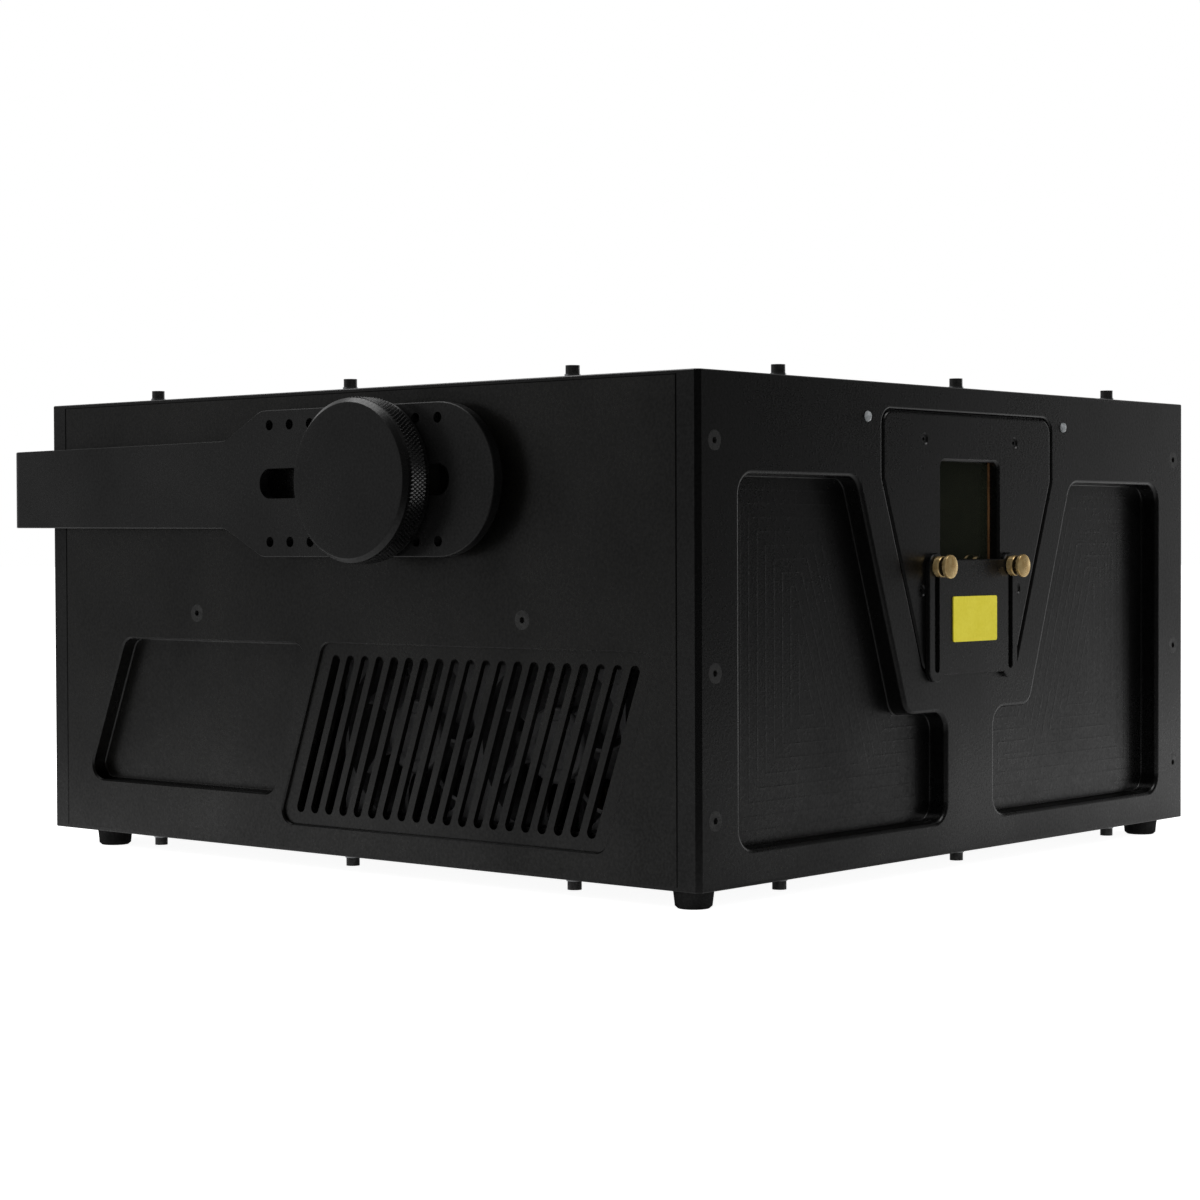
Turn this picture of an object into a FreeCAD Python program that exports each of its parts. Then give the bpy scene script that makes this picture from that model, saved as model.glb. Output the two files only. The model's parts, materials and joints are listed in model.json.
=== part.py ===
import FreeCAD, Part
import os
import re
import Sketcher

# Laser show projector. Millimetres, +Z up, front face towards -Y, tilt axis along X.
# The origin is on the floor under the middle of the whole object, yoke included.

V = FreeCAD.Vector
doc = FreeCAD.newDocument("laser_projector")

# Driving dimensions: alias, value, note
size_rows = [
    ("body_width", 375, "case, across the side panels"),
    ("body_depth", 395, "case, front face to rear face"),
    ("body_height", 200, "case, over both covers"),
    ("cover_thickness", 1.5, "top and bottom sheets"),
    ("cover_edge", 0.4, "broken edge of the covers"),
    ("front_thickness", 20, "front plate, whole"),
    ("front_edge", 11, "front plate where the side panels meet it"),
    ("rear_thickness", 11, "rear panel"),
    ("side_thickness", 14, "side panels"),
    ("corner_chamfer", 2, "upright corners of the case"),
    ("seam_edge", 0.4, "broken edges along the upright seams"),
    ("fit_gap", 0.2, "between pieces that drop into each other"),
    ("thread_gap", 0.05, "round a screw or shaft in its hole"),
    ("slide_gap", 0.1, "between faces that slide on each other"),

    ("pocket_inset", 25.5, "front pockets, from the sides of the case"),
    ("pocket_low", 14.4, "front pockets, lower edge above the underside"),
    ("pocket_drop", 39.7, "front pockets, upper edge below the top"),
    ("pocket_bar", 37.8, "bar between the front pockets"),
    ("pocket_ledge", 60.9, "step of the front pockets above the underside"),
    ("ledge_half", 48.4, "step corner, from the middle"),
    ("slant_half", 83.4, "upper inner corner, from the middle"),
    ("pocket_depth", 8.7, "front pockets"),
    ("pocket_corner", 8.1, "upright corners of the pockets"),
    ("pocket_fillet", 0.7, "floor of the front pockets"),
    ("pocket_rim", 1.8, "rounded edge of the front pockets"),

    ("plate_drop", 11.5, "aperture plate, upper edge below the top"),
    ("plate_half", 65.5, "aperture plate, half width at the top"),
    ("plate_upright", 28, "aperture plate, height of its straight sides"),
    ("plate_tall", 110, "aperture plate, whole height"),
    ("plate_low_half", 35, "aperture plate, half width at the bottom"),
    ("plate_thickness", 3, "aperture plate"),
    ("plate_gap", 0.6, "groove round the aperture plate"),
    ("plate_corner", 6.5, "corners of the aperture plate"),
    ("plate_edge", 1.2, "rounded edges of the aperture plate and its seat"),
    ("plate_screw_top", 11.2, "upper plate screws below the plate's top"),
    ("plate_screw_step", 64.1, "upper to lower plate screws"),
    ("plate_screw_half", 35.2, "upper plate screws, from the middle"),
    ("plate_screw_low_half", 37.4, "lower plate screws, from the middle"),
    ("window_width", 45, "window opening"),
    ("window_drop", 20, "window opening below the plate's top"),
    ("window_tall", 68.5, "window opening"),
    ("window_corner", 3, "corners of the window opening"),
    ("window_edge", 1, "broken edge of the window opening"),
    ("glass_set", 5.2, "window behind the front face"),
    ("glass_lap", 3.5, "glass held behind the opening, each side"),
    ("glass_thickness", 3, "window"),
    ("gasket_thickness", 2.5, "ring that holds the glass in from behind"),
    ("clip_width", 1.0, "gilt strips beside the window"),
    ("clip_thickness", 0.5, "gilt strips beside the window"),
    ("lens_half", 76.4, "indicator lenses, from the middle"),
    ("lens_drop", 14.5, "indicator lenses below the top"),
    ("lens_radius", 2.3, "indicator lenses"),
    ("lens_length", 7, "indicator lenses, let into the front plate"),
    ("lens_dome", 1.2, "indicator lenses, standing proud"),

    ("mask_thickness", 2, "sliding mask"),
    ("mask_slot_half", 28.75, "mask slots, from the middle"),
    ("mask_slot_width", 3.6, "mask slots"),
    ("mask_travel", 43.3, "mask slots, centre to centre"),
    ("ear_radius", 5.8, "rounded ears round the mask slots"),
    ("ear_step", 2.8, "ears past the mask's straight edges"),
    ("mask_edge", 0.4, "broken edge of the mask"),
    ("blank_width", 34.1, "plain plate on the mask"),
    ("blank_tall", 19.5, "plain plate on the mask"),
    ("blank_rise", 20.7, "plain plate's middle above the lower slot ends"),
    ("blank_thickness", 0.5, "plain plate on the mask"),
    ("mask_rise", 1.5, "lower slot ends above the plate's lower edge"),
    ("thumb_shank_radius", 1.7, "thumbscrews in the slots"),
    ("thumb_depth", 6, "thumbscrews behind the mask"),
    ("collar_radius", 4.5, "thumbscrew collar"),
    ("collar_length", 3.5, "thumbscrew collar"),
    ("neck_radius", 3, "thumbscrew waist"),
    ("neck_length", 1.1, "thumbscrew waist"),
    ("head_radius", 5, "thumbscrew head"),
    ("head_length", 2.5, "thumbscrew head"),
    ("head_cone", 1.2, "cone under the thumbscrew head"),
    ("thumb_edge", 0.6, "broken edges of the thumbscrews"),

    ("grille_inset", 34.4, "grille at half height, front end from the front face"),
    ("grille_length", 188.3, "grille"),
    ("grille_low", 12, "grille, lower edge above the underside"),
    ("grille_tall", 79.3, "grille"),
    ("grille_lean", 19.5, "degrees by which its ends lean"),
    ("grille_recess", 1.6, "grille face below the side"),
    ("grille_web", 2.4, "thickness of the bars"),
    ("grille_corner", 6, "corners of the grille"),
    ("grille_rim", 0.6, "broken edge of the grille face"),
    ("hollow_ledge", 3.2, "fan seat beside the fan screws"),
    ("hollow_margin", 1.2, "hollow behind the grille past the end slots"),
    ("slot_count", 20, "slots in the grille"),
    ("slot_pitch", 8.85, "slots in the grille"),
    ("slot_wide", 4.8, "slots in the grille"),
    ("slot_margin", 7.5, "slot centres from the grille's upper and lower edges"),
    ("recess_low", 24.4, "side pocket, lower edge above the underside"),
    ("recess_tall", 66.2, "side pocket"),
    ("recess_rail", 8.3, "bar between grille and side pocket"),
    ("recess_rear", 37.5, "side pocket at half height, from the rear face"),
    ("recess_lean", 22.5, "degrees by which its rear end leans"),
    ("recess_depth", 7.4, "side pocket"),
    ("recess_corner", 7, "corners of the side pocket"),
    ("recess_rim", 0.8, "broken edge of the side pocket"),

    ("fan_size", 80, "fan frames, square"),
    ("fan_depth", 25, "fan frames"),
    ("fan_bore", 76, "fan duct"),
    ("fan_hole_pitch", 71.5, "fan screws"),
    ("fan_hub_radius", 16, "fan rotors"),
    ("fan_tip_radius", 35.6, "fan blades"),
    ("fan_blades", 7, "fan blades"),
    ("fan_blade_thickness", 1.6, "fan blades"),
    ("fan_blade_sweep", 7, "half the blades' spread along the rim"),
    ("fan_seat_radius", 17, "motor seat of the fan frames"),
    ("fan_seat_depth", 4.5, "motor seat of the fan frames"),
    ("fan_strut", 6, "struts of the fan frames"),
    ("fan_pin_radius", 1.5, "fan shafts"),
    ("fan_front", 2, "rotor below the frame's face"),

    ("screw_radius", 1.5, "small screws"),
    ("screw_depth", 9, "cover screws below the cover"),
    ("screw_inset", 7.4, "cover screws from the edges"),
    ("screw_pitch", 127.5, "cover screws along the edges"),
    ("cap_radius", 2.87, "cap heads"),
    ("cap_height", 3.5, "cap heads"),
    ("cap_socket", 1.44, "hexagon sockets, corner radius"),
    ("cap_socket_depth", 1.6, "hexagon sockets"),
    ("washer_radius", 3.3, "bright washers"),
    ("washer_thickness", 1.1, "bright washers"),
    ("sunk_radius", 4, "countersunk heads"),
    ("sunk_shank", 2, "countersunk screws"),
    ("sunk_socket", 1.4, "corners of their sockets, from the middle"),
    ("sunk_length", 16, "countersunk screws"),
    ("edge_screw_inset", 10, "front and rear screws from the sides"),
    ("edge_screw_low", 27, "lowest front screws above the underside"),
    ("edge_screw_middle", 83.7, "middle front screws above the underside"),
    ("edge_screw_drop", 27, "highest front screws below the top"),
    ("side_screw_front", 91.2, "front side screws from the front face"),
    ("side_screw_pitch", 199.1, "side screws"),
    ("plate_screw_radius", 1.25, "aperture plate screws"),
    ("plate_screw_head", 2.2, "aperture plate screw heads"),
    ("plate_screw_socket", 0.88, "corners of their sockets, from the middle"),
    ("plate_screw_length", 8, "aperture plate screws"),
    ("plate_screw_sink", 0.5, "aperture plate screws below the plate's face"),

    ("foot_height", 8, "feet"),
    ("foot_radius", 8.25, "feet at the top"),
    ("foot_low_radius", 7.25, "feet at the bottom"),
    ("foot_edge", 1, "rounded bottom edge of the feet"),
    ("foot_inset", 15, "feet from the sides and the front"),
    ("foot_rear", 27, "feet from the rear"),
    ("foot_well", 3.6, "radius of the hole for the screw head"),
    ("foot_well_depth", 4.5, "hole for the screw head"),
    ("foot_screw_radius", 2, "foot screws"),
    ("foot_screw_head", 3.3, "foot screw heads"),
    ("foot_screw_head_height", 2.2, "foot screw heads"),

    ("pivot_back", 164.6, "tilt axis from the front face"),
    ("pivot_drop", 39.9, "tilt axis below the top"),
    ("stud_radius", 6, "pivot studs"),
    ("stud_flange", 13, "radius of the stud flange"),
    ("stud_flange_thickness", 3, "stud flange"),
    ("stud_grip", 9, "stud inside the knob"),
    ("disc_radius", 28, "friction discs"),
    ("arm_gap", 6, "yoke arms from the side panels"),
    ("arm_thickness", 4.6, "yoke"),
    ("arm_head", 63.4, "wide end of the arms"),
    ("arm_width", 38.5, "narrow part of the arms"),
    ("bar_width", 36, "cross bar of the yoke"),
    ("arm_slot", 13, "width of the slots in the arms"),
    ("arm_slot_front", 36.8, "slot centre ahead of the tilt axis"),
    ("arm_slot_rear", 64.8, "slot centre behind the tilt axis"),
    ("arm_holes", 9, "holes in a row"),
    ("arm_hole_radius", 2.25, "holes in the arms"),
    ("arm_hole_rise", 25.25, "hole rows from the slot"),
    ("shoulder_start", 5.6, "wide end past the rear slot centre"),
    ("shoulder_length", 24, "taper of the arms"),
    ("shoulder_round", 9, "rounding of the taper"),
    ("bar_gap", 13, "cross bar from the rear face"),
    ("bend_radius", 2, "inside of the yoke's bends"),
    ("bar_bolt_radius", 6.25, "middle bolt hole"),
    ("bar_side_bolt_radius", 4.25, "outer bolt holes"),
    ("bar_bolt_pitch", 120, "outer bolt holes"),
    ("yoke_edge", 0.35, "broken edge of the yoke"),
    ("knob_radius", 34.8, "clamp knobs"),
    ("knob_thickness", 15.7, "clamp knobs"),
    ("knob_edge", 2.5, "chamfers of the clamp knobs"),

    ("deck_gap", 5.3, "deck above the fans"),
    ("deck_thickness", 12, "optical deck"),
    ("deck_setback", 4, "deck from the front plate and the rear panel"),
    ("sink_slab", 7, "heat sink under the deck"),
    ("fin_count", 18, "heat sink fins"),
    ("fin_pitch", 8.5, "heat sink fins"),
    ("fin_thickness", 2, "heat sink fins"),
    ("fin_tall", 34, "heat sink fins"),
    ("sink_gap", 4, "heat sink from the fans"),
    ("beam_height", 28, "beam above the deck"),
    ("laser_width", 44, "laser modules"),
    ("laser_tall", 46, "laser modules"),
    ("laser_pitch", 55, "laser modules"),
    ("laser_rear", 56, "rearmost laser from the rear panel"),
    ("laser_nose_x", 20, "front of the laser modules"),
    ("red_length", 92, "laser module"),
    ("green_length", 80, "laser module"),
    ("blue_length", 68, "laser module"),
    ("nose_radius", 7, "collimator of a laser module"),
    ("nose_length", 8, "collimator of a laser module"),
    ("beam_x", 95, "line on which the beams join"),
    ("mirror_width", 20, "beam mirrors"),
    ("mirror_thickness", 2, "beam mirrors"),
    ("mirror_tall", 20, "beam mirrors"),
    ("post_radius", 7, "mirror mounts"),
    ("cradle_depth", 8, "mirror mounts"),
    ("cradle_tall", 6, "mirror mounts"),
    ("scan_back", 48, "scan mirrors behind the front plate"),
    ("scan_rise", 16, "second scan mirror above the first"),
    ("motor_radius", 9, "scanner motors"),
    ("motor_length", 44, "scanner motors"),
    ("motor_gap", 13, "scanner motors from the scan mirrors"),
    ("scan_shaft_radius", 1.5, "scan mirror shafts"),
    ("scan_shaft_grip", 10, "scan mirror shafts inside the motors"),
    ("scan_mirror_length", 16, "scan mirrors"),
    ("scan_mirror_width", 10, "scan mirrors"),
    ("scan_mirror_thickness", 1.2, "scan mirrors"),
    ("block_wall", 5, "scanner block round the motors"),
    ("block_length", 22, "scanner block along the motors"),
    ("block_base", 6, "foot of the scanner block"),
    ("beam_bore", 3, "radius of the beam's way through the block"),
    ("shutter_back", 62, "shutter behind the scan mirrors"),
    ("shutter_side", 23, "shutter shaft beside the beam"),
    ("shutter_size", 24, "shutter motor"),
    ("shutter_shaft_radius", 1.5, "shutter shaft"),
    ("shutter_grip", 8, "shutter shaft inside its motor"),
    ("flag_thickness", 1, "shutter flag"),
    ("flag_width", 12, "shutter flag"),
    ("flag_reach", 36, "shutter flag"),
    ("flag_lean", 35, "degrees from level, shutter closed"),

    ("supply_wide", 130, "power supply"),
    ("supply_long", 105, "power supply"),
    ("supply_tall", 45, "power supply"),
    ("bay_side", 24, "electronics from the side panels"),
    ("bay_rear", 40, "electronics from the rear panel"),
    ("driver_wide", 100, "scanner driver board"),
    ("driver_long", 90, "scanner driver board"),
    ("driver_fin_tall", 24, "cooling bracket of the driver"),
    ("control_wide", 200, "control board"),
    ("control_long", 90, "control board"),
    ("control_front", 34, "control board from the front plate"),
    ("board_thickness", 1.6, "circuit boards"),
    ("standoff_height", 8, "spacers under the boards"),
    ("standoff_radius", 3, "spacers under the boards"),
    ("standoff_inset", 6, "spacers from the board corners"),
    ("chip_size", 28, "tall parts on the control board"),
    ("chip_tall", 14, "tall parts on the control board"),

    ("panel_row", 58, "rear fittings above the underside"),
    ("flange_thickness", 2.5, "flanges of the rear fittings"),
    ("inlet_x", -128, "mains inlet"),
    ("inlet_wide", 27, "mains inlet"),
    ("inlet_tall", 20, "mains inlet"),
    ("inlet_deep", 22, "mains inlet inside the panel"),
    ("inlet_wall", 1.6, "mains inlet"),
    ("inlet_flange", 5, "mains inlet flange past its body"),
    ("pin_wide", 2, "contact blades"),
    ("pin_tall", 4, "contact blades"),
    ("pin_long", 13, "contact blades"),
    ("pin_pitch", 7, "contact blades"),
    ("switch_x", -80, "rocker switch"),
    ("switch_wide", 13, "rocker switch"),
    ("switch_tall", 26, "rocker switch"),
    ("switch_deep", 18, "rocker switch inside the panel"),
    ("switch_wall", 1.5, "rocker switch"),
    ("switch_flange", 2, "rocker switch flange past its body"),
    ("rocker_gap", 0.4, "rocker in its housing"),
    ("rocker_lift", 3.4, "rocker's raised end above the flange"),
    ("rocker_root", 6, "rocker below the flange"),
    ("rocker_lean", 10, "degrees either way"),
    ("rocker_pin_radius", 1, "rocker pivot"),
    ("lock_x", -40, "key switch"),
    ("lock_radius", 9, "key switch barrel"),
    ("lock_flange_radius", 12, "key switch"),
    ("lock_deep", 26, "key switch inside the panel"),
    ("plug_radius", 5, "turning part of the key switch"),
    ("plug_deep", 16, "turning part of the key switch"),
    ("key_thickness", 2.4, "key"),
    ("key_wide", 15, "key"),
    ("key_reach", 11, "key past the flange"),
    ("key_blade", 7, "key"),
    ("socket_x", 22, "first round data socket"),
    ("socket_pitch", 38, "round data sockets"),
    ("socket_count", 3, "round data sockets"),
    ("socket_radius", 11, "round data sockets"),
    ("socket_well", 9, "radius of the socket's hollow"),
    ("socket_deep", 16, "round data sockets inside the panel"),
    ("socket_flange_wide", 26, "round data sockets"),
    ("socket_flange_tall", 31, "round data sockets"),
    ("lug_x", 152, "safety lug"),
    ("lug_reach", 14, "safety lug past the rear face"),
    ("lug_wide", 30, "safety lug, foot"),
    ("lug_tall", 26, "safety lug"),
    ("lug_thickness", 5, "safety lug"),
    ("lug_hole_radius", 3.5, "safety lug"),
]

# Places worked out from the dimensions
place_rows = [
    ("half_width", "body_width / 2", "outer face of the right side"),
    ("inner_half", "half_width - side_thickness", "inner face of the right side"),
    ("thumb_reach", "mask_thickness + 2 * slide_gap + collar_length + neck_length + head_length",
     "thumbscrew heads ahead of the front face"),
    ("yoke_reach", "body_depth + bar_gap + arm_thickness", "yoke behind the front face"),
    ("front_y", "(thumb_reach - yoke_reach) / 2", "front face"),
    ("rear_y", "front_y + body_depth", "rear face"),
    ("seam_y", "front_y + front_edge", "side panels' front ends"),
    ("front_back_y", "front_y + front_thickness", "back of the front plate"),
    ("rear_seam_y", "rear_y - rear_thickness", "inside of the rear panel"),
    ("top_z", "foot_height + body_height", "top of the top cover"),
    ("wall_low_z", "foot_height + cover_thickness", "lower edge of the walls"),
    ("wall_top_z", "top_z - cover_thickness", "upper edge of the walls"),
    ("middle_y", "(front_y + rear_y) / 2", "middle of the case"),
    ("hole_radius", "screw_radius + thread_gap", "holes for the small screws"),
    ("sunk_hole", "sunk_shank + thread_gap", "holes for the countersunk screws"),
    ("plate_top_z", "top_z - plate_drop", "top of the aperture plate"),
    ("window_top_z", "plate_top_z - window_drop", "top of the window"),
    ("window_low_z", "window_top_z - window_tall", "bottom of the window"),
    ("glass_y", "front_y + glass_set", "front of the glass"),
    ("mask_back_y", "front_y - slide_gap", "back of the mask"),
    ("mask_front_y", "mask_back_y - mask_thickness", "front of the mask"),
    ("mask_low_z", "plate_top_z - plate_tall + mask_rise", "lower slot ends of the mask"),
    ("thumb_z", "mask_low_z + mask_travel", "thumbscrews, and the mask's upper slot ends"),
    ("grille_mid_z", "foot_height + grille_low + grille_tall / 2", "half height of the grille"),
    ("grille_mid_y", "front_y + grille_inset + grille_length / 2", "middle of the grille"),
    ("fan_face_x", "inner_half - fan_depth", "inside of the fans"),
    ("deck_low_z", "grille_mid_z + fan_size / 2 + deck_gap", "underside of the deck"),
    ("deck_z", "deck_low_z + deck_thickness", "top of the deck"),
    ("beam_z", "deck_z + beam_height", "height of the beam"),
    ("pivot_y", "front_y + pivot_back", "tilt axis"),
    ("pivot_z", "top_z - pivot_drop", "tilt axis"),
    ("arm_x", "half_width + arm_gap", "inside of the right arm"),
    ("arm_out_x", "arm_x + arm_thickness", "outside of the right arm"),
    ("bar_y", "rear_y + bar_gap", "inside of the cross bar"),
    ("scan_y", "front_back_y + scan_back", "scan mirrors"),
    ("scan_top_z", "beam_z + scan_rise", "second scan mirror"),
    ("fitting_z", "foot_height + panel_row", "middle of the rear fittings"),
    ("fitting_y", "rear_y + flange_thickness", "outer face of the rear fittings"),
]

sheet_of = {}


def formula(text, home=None):
    """Puts the sheet's name before each alias, except before the home sheet's own."""
    def full(match):
        word = match.group()
        sheet = sheet_of.get(word)
        return word if sheet in (None, home) else f"{sheet}.{word}"
    return re.sub(r"[A-Za-z_]\w*", full, text)


def fill_sheet(name, rows):
    sheet = doc.addObject("Spreadsheet::Sheet", name)
    for line, (alias, content, note) in enumerate(rows, 1):
        sheet_of[alias] = name
        text = "=" + formula(content, name) if isinstance(content, str) else str(content)
        sheet.set(f"A{line}", alias)
        sheet.set(f"B{line}", text)
        sheet.setAlias(f"B{line}", alias)
        sheet.set(f"C{line}", note)
    doc.recompute()
    return sheet


sizes = fill_sheet("Sizes", size_rows)
places = fill_sheet("Places", place_rows)


def number(text):
    return float(sizes.evalExpression(formula(text)))


def bind(thing, name, text):
    thing.setExpression(name, formula(text))


# Directions in which a piece made upright can face
facing = {
    "up": FreeCAD.Rotation(),
    "down": FreeCAD.Rotation(V(1, 0, 0), 180),
    "front": FreeCAD.Rotation(V(1, 0, 0), 90),
    "rear": FreeCAD.Rotation(V(1, 0, 0), -90),
    "left": FreeCAD.Rotation(V(0, 1, 0), -90),
    "right": FreeCAD.Rotation(V(0, 1, 0), 90),
}


def put(thing, spot, turn=FreeCAD.Rotation()):
    """Places a thing: three formulas, and a rotation."""
    thing.Placement = FreeCAD.Placement(V(), turn)
    for axis, text in zip("xyz", spot):
        bind(thing, f"Placement.Base.{axis}", text)
    return thing


# Solids made of primitives

def block(name, x, y, z):
    """A box between pairs of formulas."""
    made = doc.addObject("Part::Box", name)
    for side, (low, high) in zip(("Length", "Width", "Height"), (x, y, z)):
        bind(made, side, f"({high}) - ({low})")
    return put(made, (x[0], y[0], z[0]))


def rod(name, spot, length, radius, towards="up"):
    """A cylinder that starts at the spot and runs one way."""
    made = doc.addObject("Part::Cylinder", name)
    bind(made, "Height", length)
    bind(made, "Radius", radius)
    return put(made, spot, facing[towards])


def join(name, pieces):
    made = doc.addObject("Part::MultiFuse", name)
    made.Shapes = pieces
    return made


def cut(name, base, tools):
    made = doc.addObject("Part::Cut", name)
    made.Base = base
    made.Tool = tools[0] if len(tools) == 1 else join(name + "_cutters", tools)
    return made


def group(name, pieces):
    made = doc.addObject("Part::Compound", name)
    made.Links = pieces
    return made


def copies(name, original, spots):
    """A group of copies of one piece: a spot and a direction for each."""
    links = []
    for spot, turn in spots:
        link = doc.addObject("App::Link", name + "_copy")
        link.LinkedObject = original
        link.LinkTransform = True
        links.append(put(link, spot, turn))
    return group(name, links)


def mirror(name, original):
    made = doc.addObject("Part::Mirroring", name)
    made.Source = original
    made.Normal = V(1, 0, 0)
    return made


# Bodies made of sketches

def new_body(name):
    return doc.addObject("PartDesign::Body", name)


def sketch(body, name, role, offset="0"):
    """A sketch parallel to an origin plane. On XZ it looks along +Y, with its normal towards -Y."""
    made = body.newObject("Sketcher::SketchObject", name)
    plane = next(part for part in body.Origin.OriginFeatures if part.Role == role)
    made.AttachmentSupport = [(plane, "")]
    made.MapMode = "FlatFace"
    bind(made, "AttachmentOffset.Base.z", offset)
    return made


def constrain(drawing, values, text):
    index = drawing.addConstraint(Sketcher.Constraint(*values, number(text)))
    bind(drawing, f"Constraints[{index}]", text)


def pin(drawing, geometry, point, x, y):
    constrain(drawing, ("DistanceX", -1, 1, geometry, point), x)
    constrain(drawing, ("DistanceY", -1, 1, geometry, point), y)


def polygon(drawing, corners):
    ends = [V(number(x), number(y), 0) for x, y in corners]
    first = drawing.GeometryCount
    count = len(ends)
    for index, end in enumerate(ends):
        drawing.addGeometry(Part.LineSegment(end, ends[(index + 1) % count]), False)
    for index, (x, y) in enumerate(corners):
        following = first + (index + 1) % count
        drawing.addConstraint(Sketcher.Constraint("Coincident", first + index, 2, following, 1))
        pin(drawing, first + index, 1, x, y)


def rectangle(drawing, x, y):
    polygon(drawing, [(x[0], y[0]), (x[1], y[0]), (x[1], y[1]), (x[0], y[1])])


def circle(drawing, x, y, radius):
    ring = Part.Circle(V(number(x), number(y), 0), V(0, 0, 1), number(radius))
    index = drawing.addGeometry(ring, False)
    constrain(drawing, ("Radius", index), radius)
    pin(drawing, index, 3, x, y)


def obround(drawing, start, end, radius):
    """A slot with round ends between two centres."""
    a, b = (V(number(x), number(y), 0) for x, y in (start, end))
    r = number(radius)
    along = (b - a).normalize()
    across = V(-along.y, along.x, 0)
    first = drawing.GeometryCount
    drawing.addGeometry(Part.LineSegment(a - across * r, b - across * r), False)
    drawing.addGeometry(Part.Arc(b - across * r, b + along * r, b + across * r), False)
    drawing.addGeometry(Part.LineSegment(b + across * r, a + across * r), False)
    drawing.addGeometry(Part.Arc(a + across * r, a - along * r, a - across * r), False)
    for index in range(4):
        pair = (first + index, 2, first + (index + 1) % 4, 1)
        drawing.addConstraint(Sketcher.Constraint("Tangent", *pair))
    drawing.addConstraint(Sketcher.Constraint("Equal", first + 1, first + 3))
    constrain(drawing, ("Radius", first + 1), radius)
    pin(drawing, first + 1, 3, *end)
    pin(drawing, first + 3, 3, *start)


def pad(body, drawing, length, backwards=False, middle=False):
    made = body.newObject("PartDesign::Pad", drawing.Name + "_pad")
    made.Profile = drawing
    made.Reversed = backwards
    made.Midplane = middle
    bind(made, "Length", length)
    doc.recompute()
    return made


def pocket(body, drawing, length=None, backwards=False):
    """Cuts into the body against the sketch's normal, or right through both ways with no length."""
    before = body.Shape.Volume
    made = body.newObject("PartDesign::Pocket", drawing.Name + "_pocket")
    made.Profile = drawing
    made.Reversed = backwards
    if length is None:
        made.Type = "ThroughAll"
        made.Midplane = True
    else:
        bind(made, "Length", length)
    doc.recompute()
    if body.Shape.Volume > before - 0.01:
        raise RuntimeError(f"{made.Name} cuts nothing")
    return made


def turned(name, profile):
    """A piece of revolution about Z; the profile's corners are radius and height."""
    body = new_body(name)
    drawing = sketch(body, name + "_profile", "XZ_Plane")
    polygon(drawing, profile)
    made = body.newObject("PartDesign::Revolution", name + "_turning")
    made.Profile = drawing
    made.ReferenceAxis = (drawing, ["V_Axis"])
    made.Angle = 360
    doc.recompute()
    return body


def span(edge, axis):
    box = edge.BoundBox
    return {"x": (box.XMin, box.XMax), "y": (box.YMin, box.YMax), "z": (box.ZMin, box.ZMax)}[axis]


def within(edge, **limits):
    """True if the edge keeps inside the given (low, high) pairs of formulas."""
    for axis, (low, high) in limits.items():
        least, most = span(edge, axis)
        if least < number(low) - 0.001 or most > number(high) + 0.001:
            return False
    return True


def straight_along(edge, axis):
    spans = {name: span(edge, name) for name in "xyz"}
    flat = all(high - low < 0.001 for name, (low, high) in spans.items() if name != axis)
    return flat and edge.Length > 0.001


def dress(body, kind, amount, chosen):
    """Rounds ("Fillet") or breaks ("Chamfer") the body's chosen edges."""
    base = body.Tip
    names = [f"Edge{index}" for index, edge in enumerate(base.Shape.Edges, 1) if chosen(edge)]
    if not names:
        raise RuntimeError(f"no edges for a {kind} on {body.Name}")
    made = body.newObject(f"PartDesign::{kind}", f"{body.Name}_{kind.lower()}")
    made.Base = (base, names)
    bind(made, "Radius" if kind == "Fillet" else "Size", amount)
    doc.recompute()
    return made


# Fasteners, each made once along Z with its seat at height 0

def cap_screw():
    head = rod("cap_head", ("0", "0", "0"), "cap_height", "cap_radius")
    low = "screw_depth + cover_thickness + washer_thickness"
    shank = rod("cap_shank", ("0", "0", f"-({low})"), low, "screw_radius")
    socket = doc.addObject("Part::Prism", "cap_socket_cutter")
    socket.Polygon = 6
    bind(socket, "Circumradius", "cap_socket")
    bind(socket, "Height", "cap_socket_depth")
    put(socket, ("0", "0", "cap_height - cap_socket_depth"))
    return cut("cap_screw", join("cap_blank", [head, shank]), [socket])


def sunk_screw(name, head, shank, length, across):
    """A countersunk screw with a hexagon socket; its head is flush at height 0."""
    body = turned(name, [("0", "0"), (head, "0"), (shank, f"{shank} - {head}"), (shank, f"-{length}"),
                         ("0", f"-{length}")])
    drawing = sketch(body, name + "_socket", "XY_Plane")
    angles = range(0, 360, 60)
    polygon(drawing, [(f"{across} * cos({a})", f"{across} * sin({a})") for a in angles])
    pocket(body, drawing, f"{head} * 0.45")
    return body


def washer():
    ring = rod("washer_ring", ("0", "0", "0"), "washer_thickness", "washer_radius")
    return cut("washer", ring, [rod("washer_bore", ("0", "0", "0"), "washer_thickness", "hole_radius")])


# Spots that several pieces share

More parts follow.
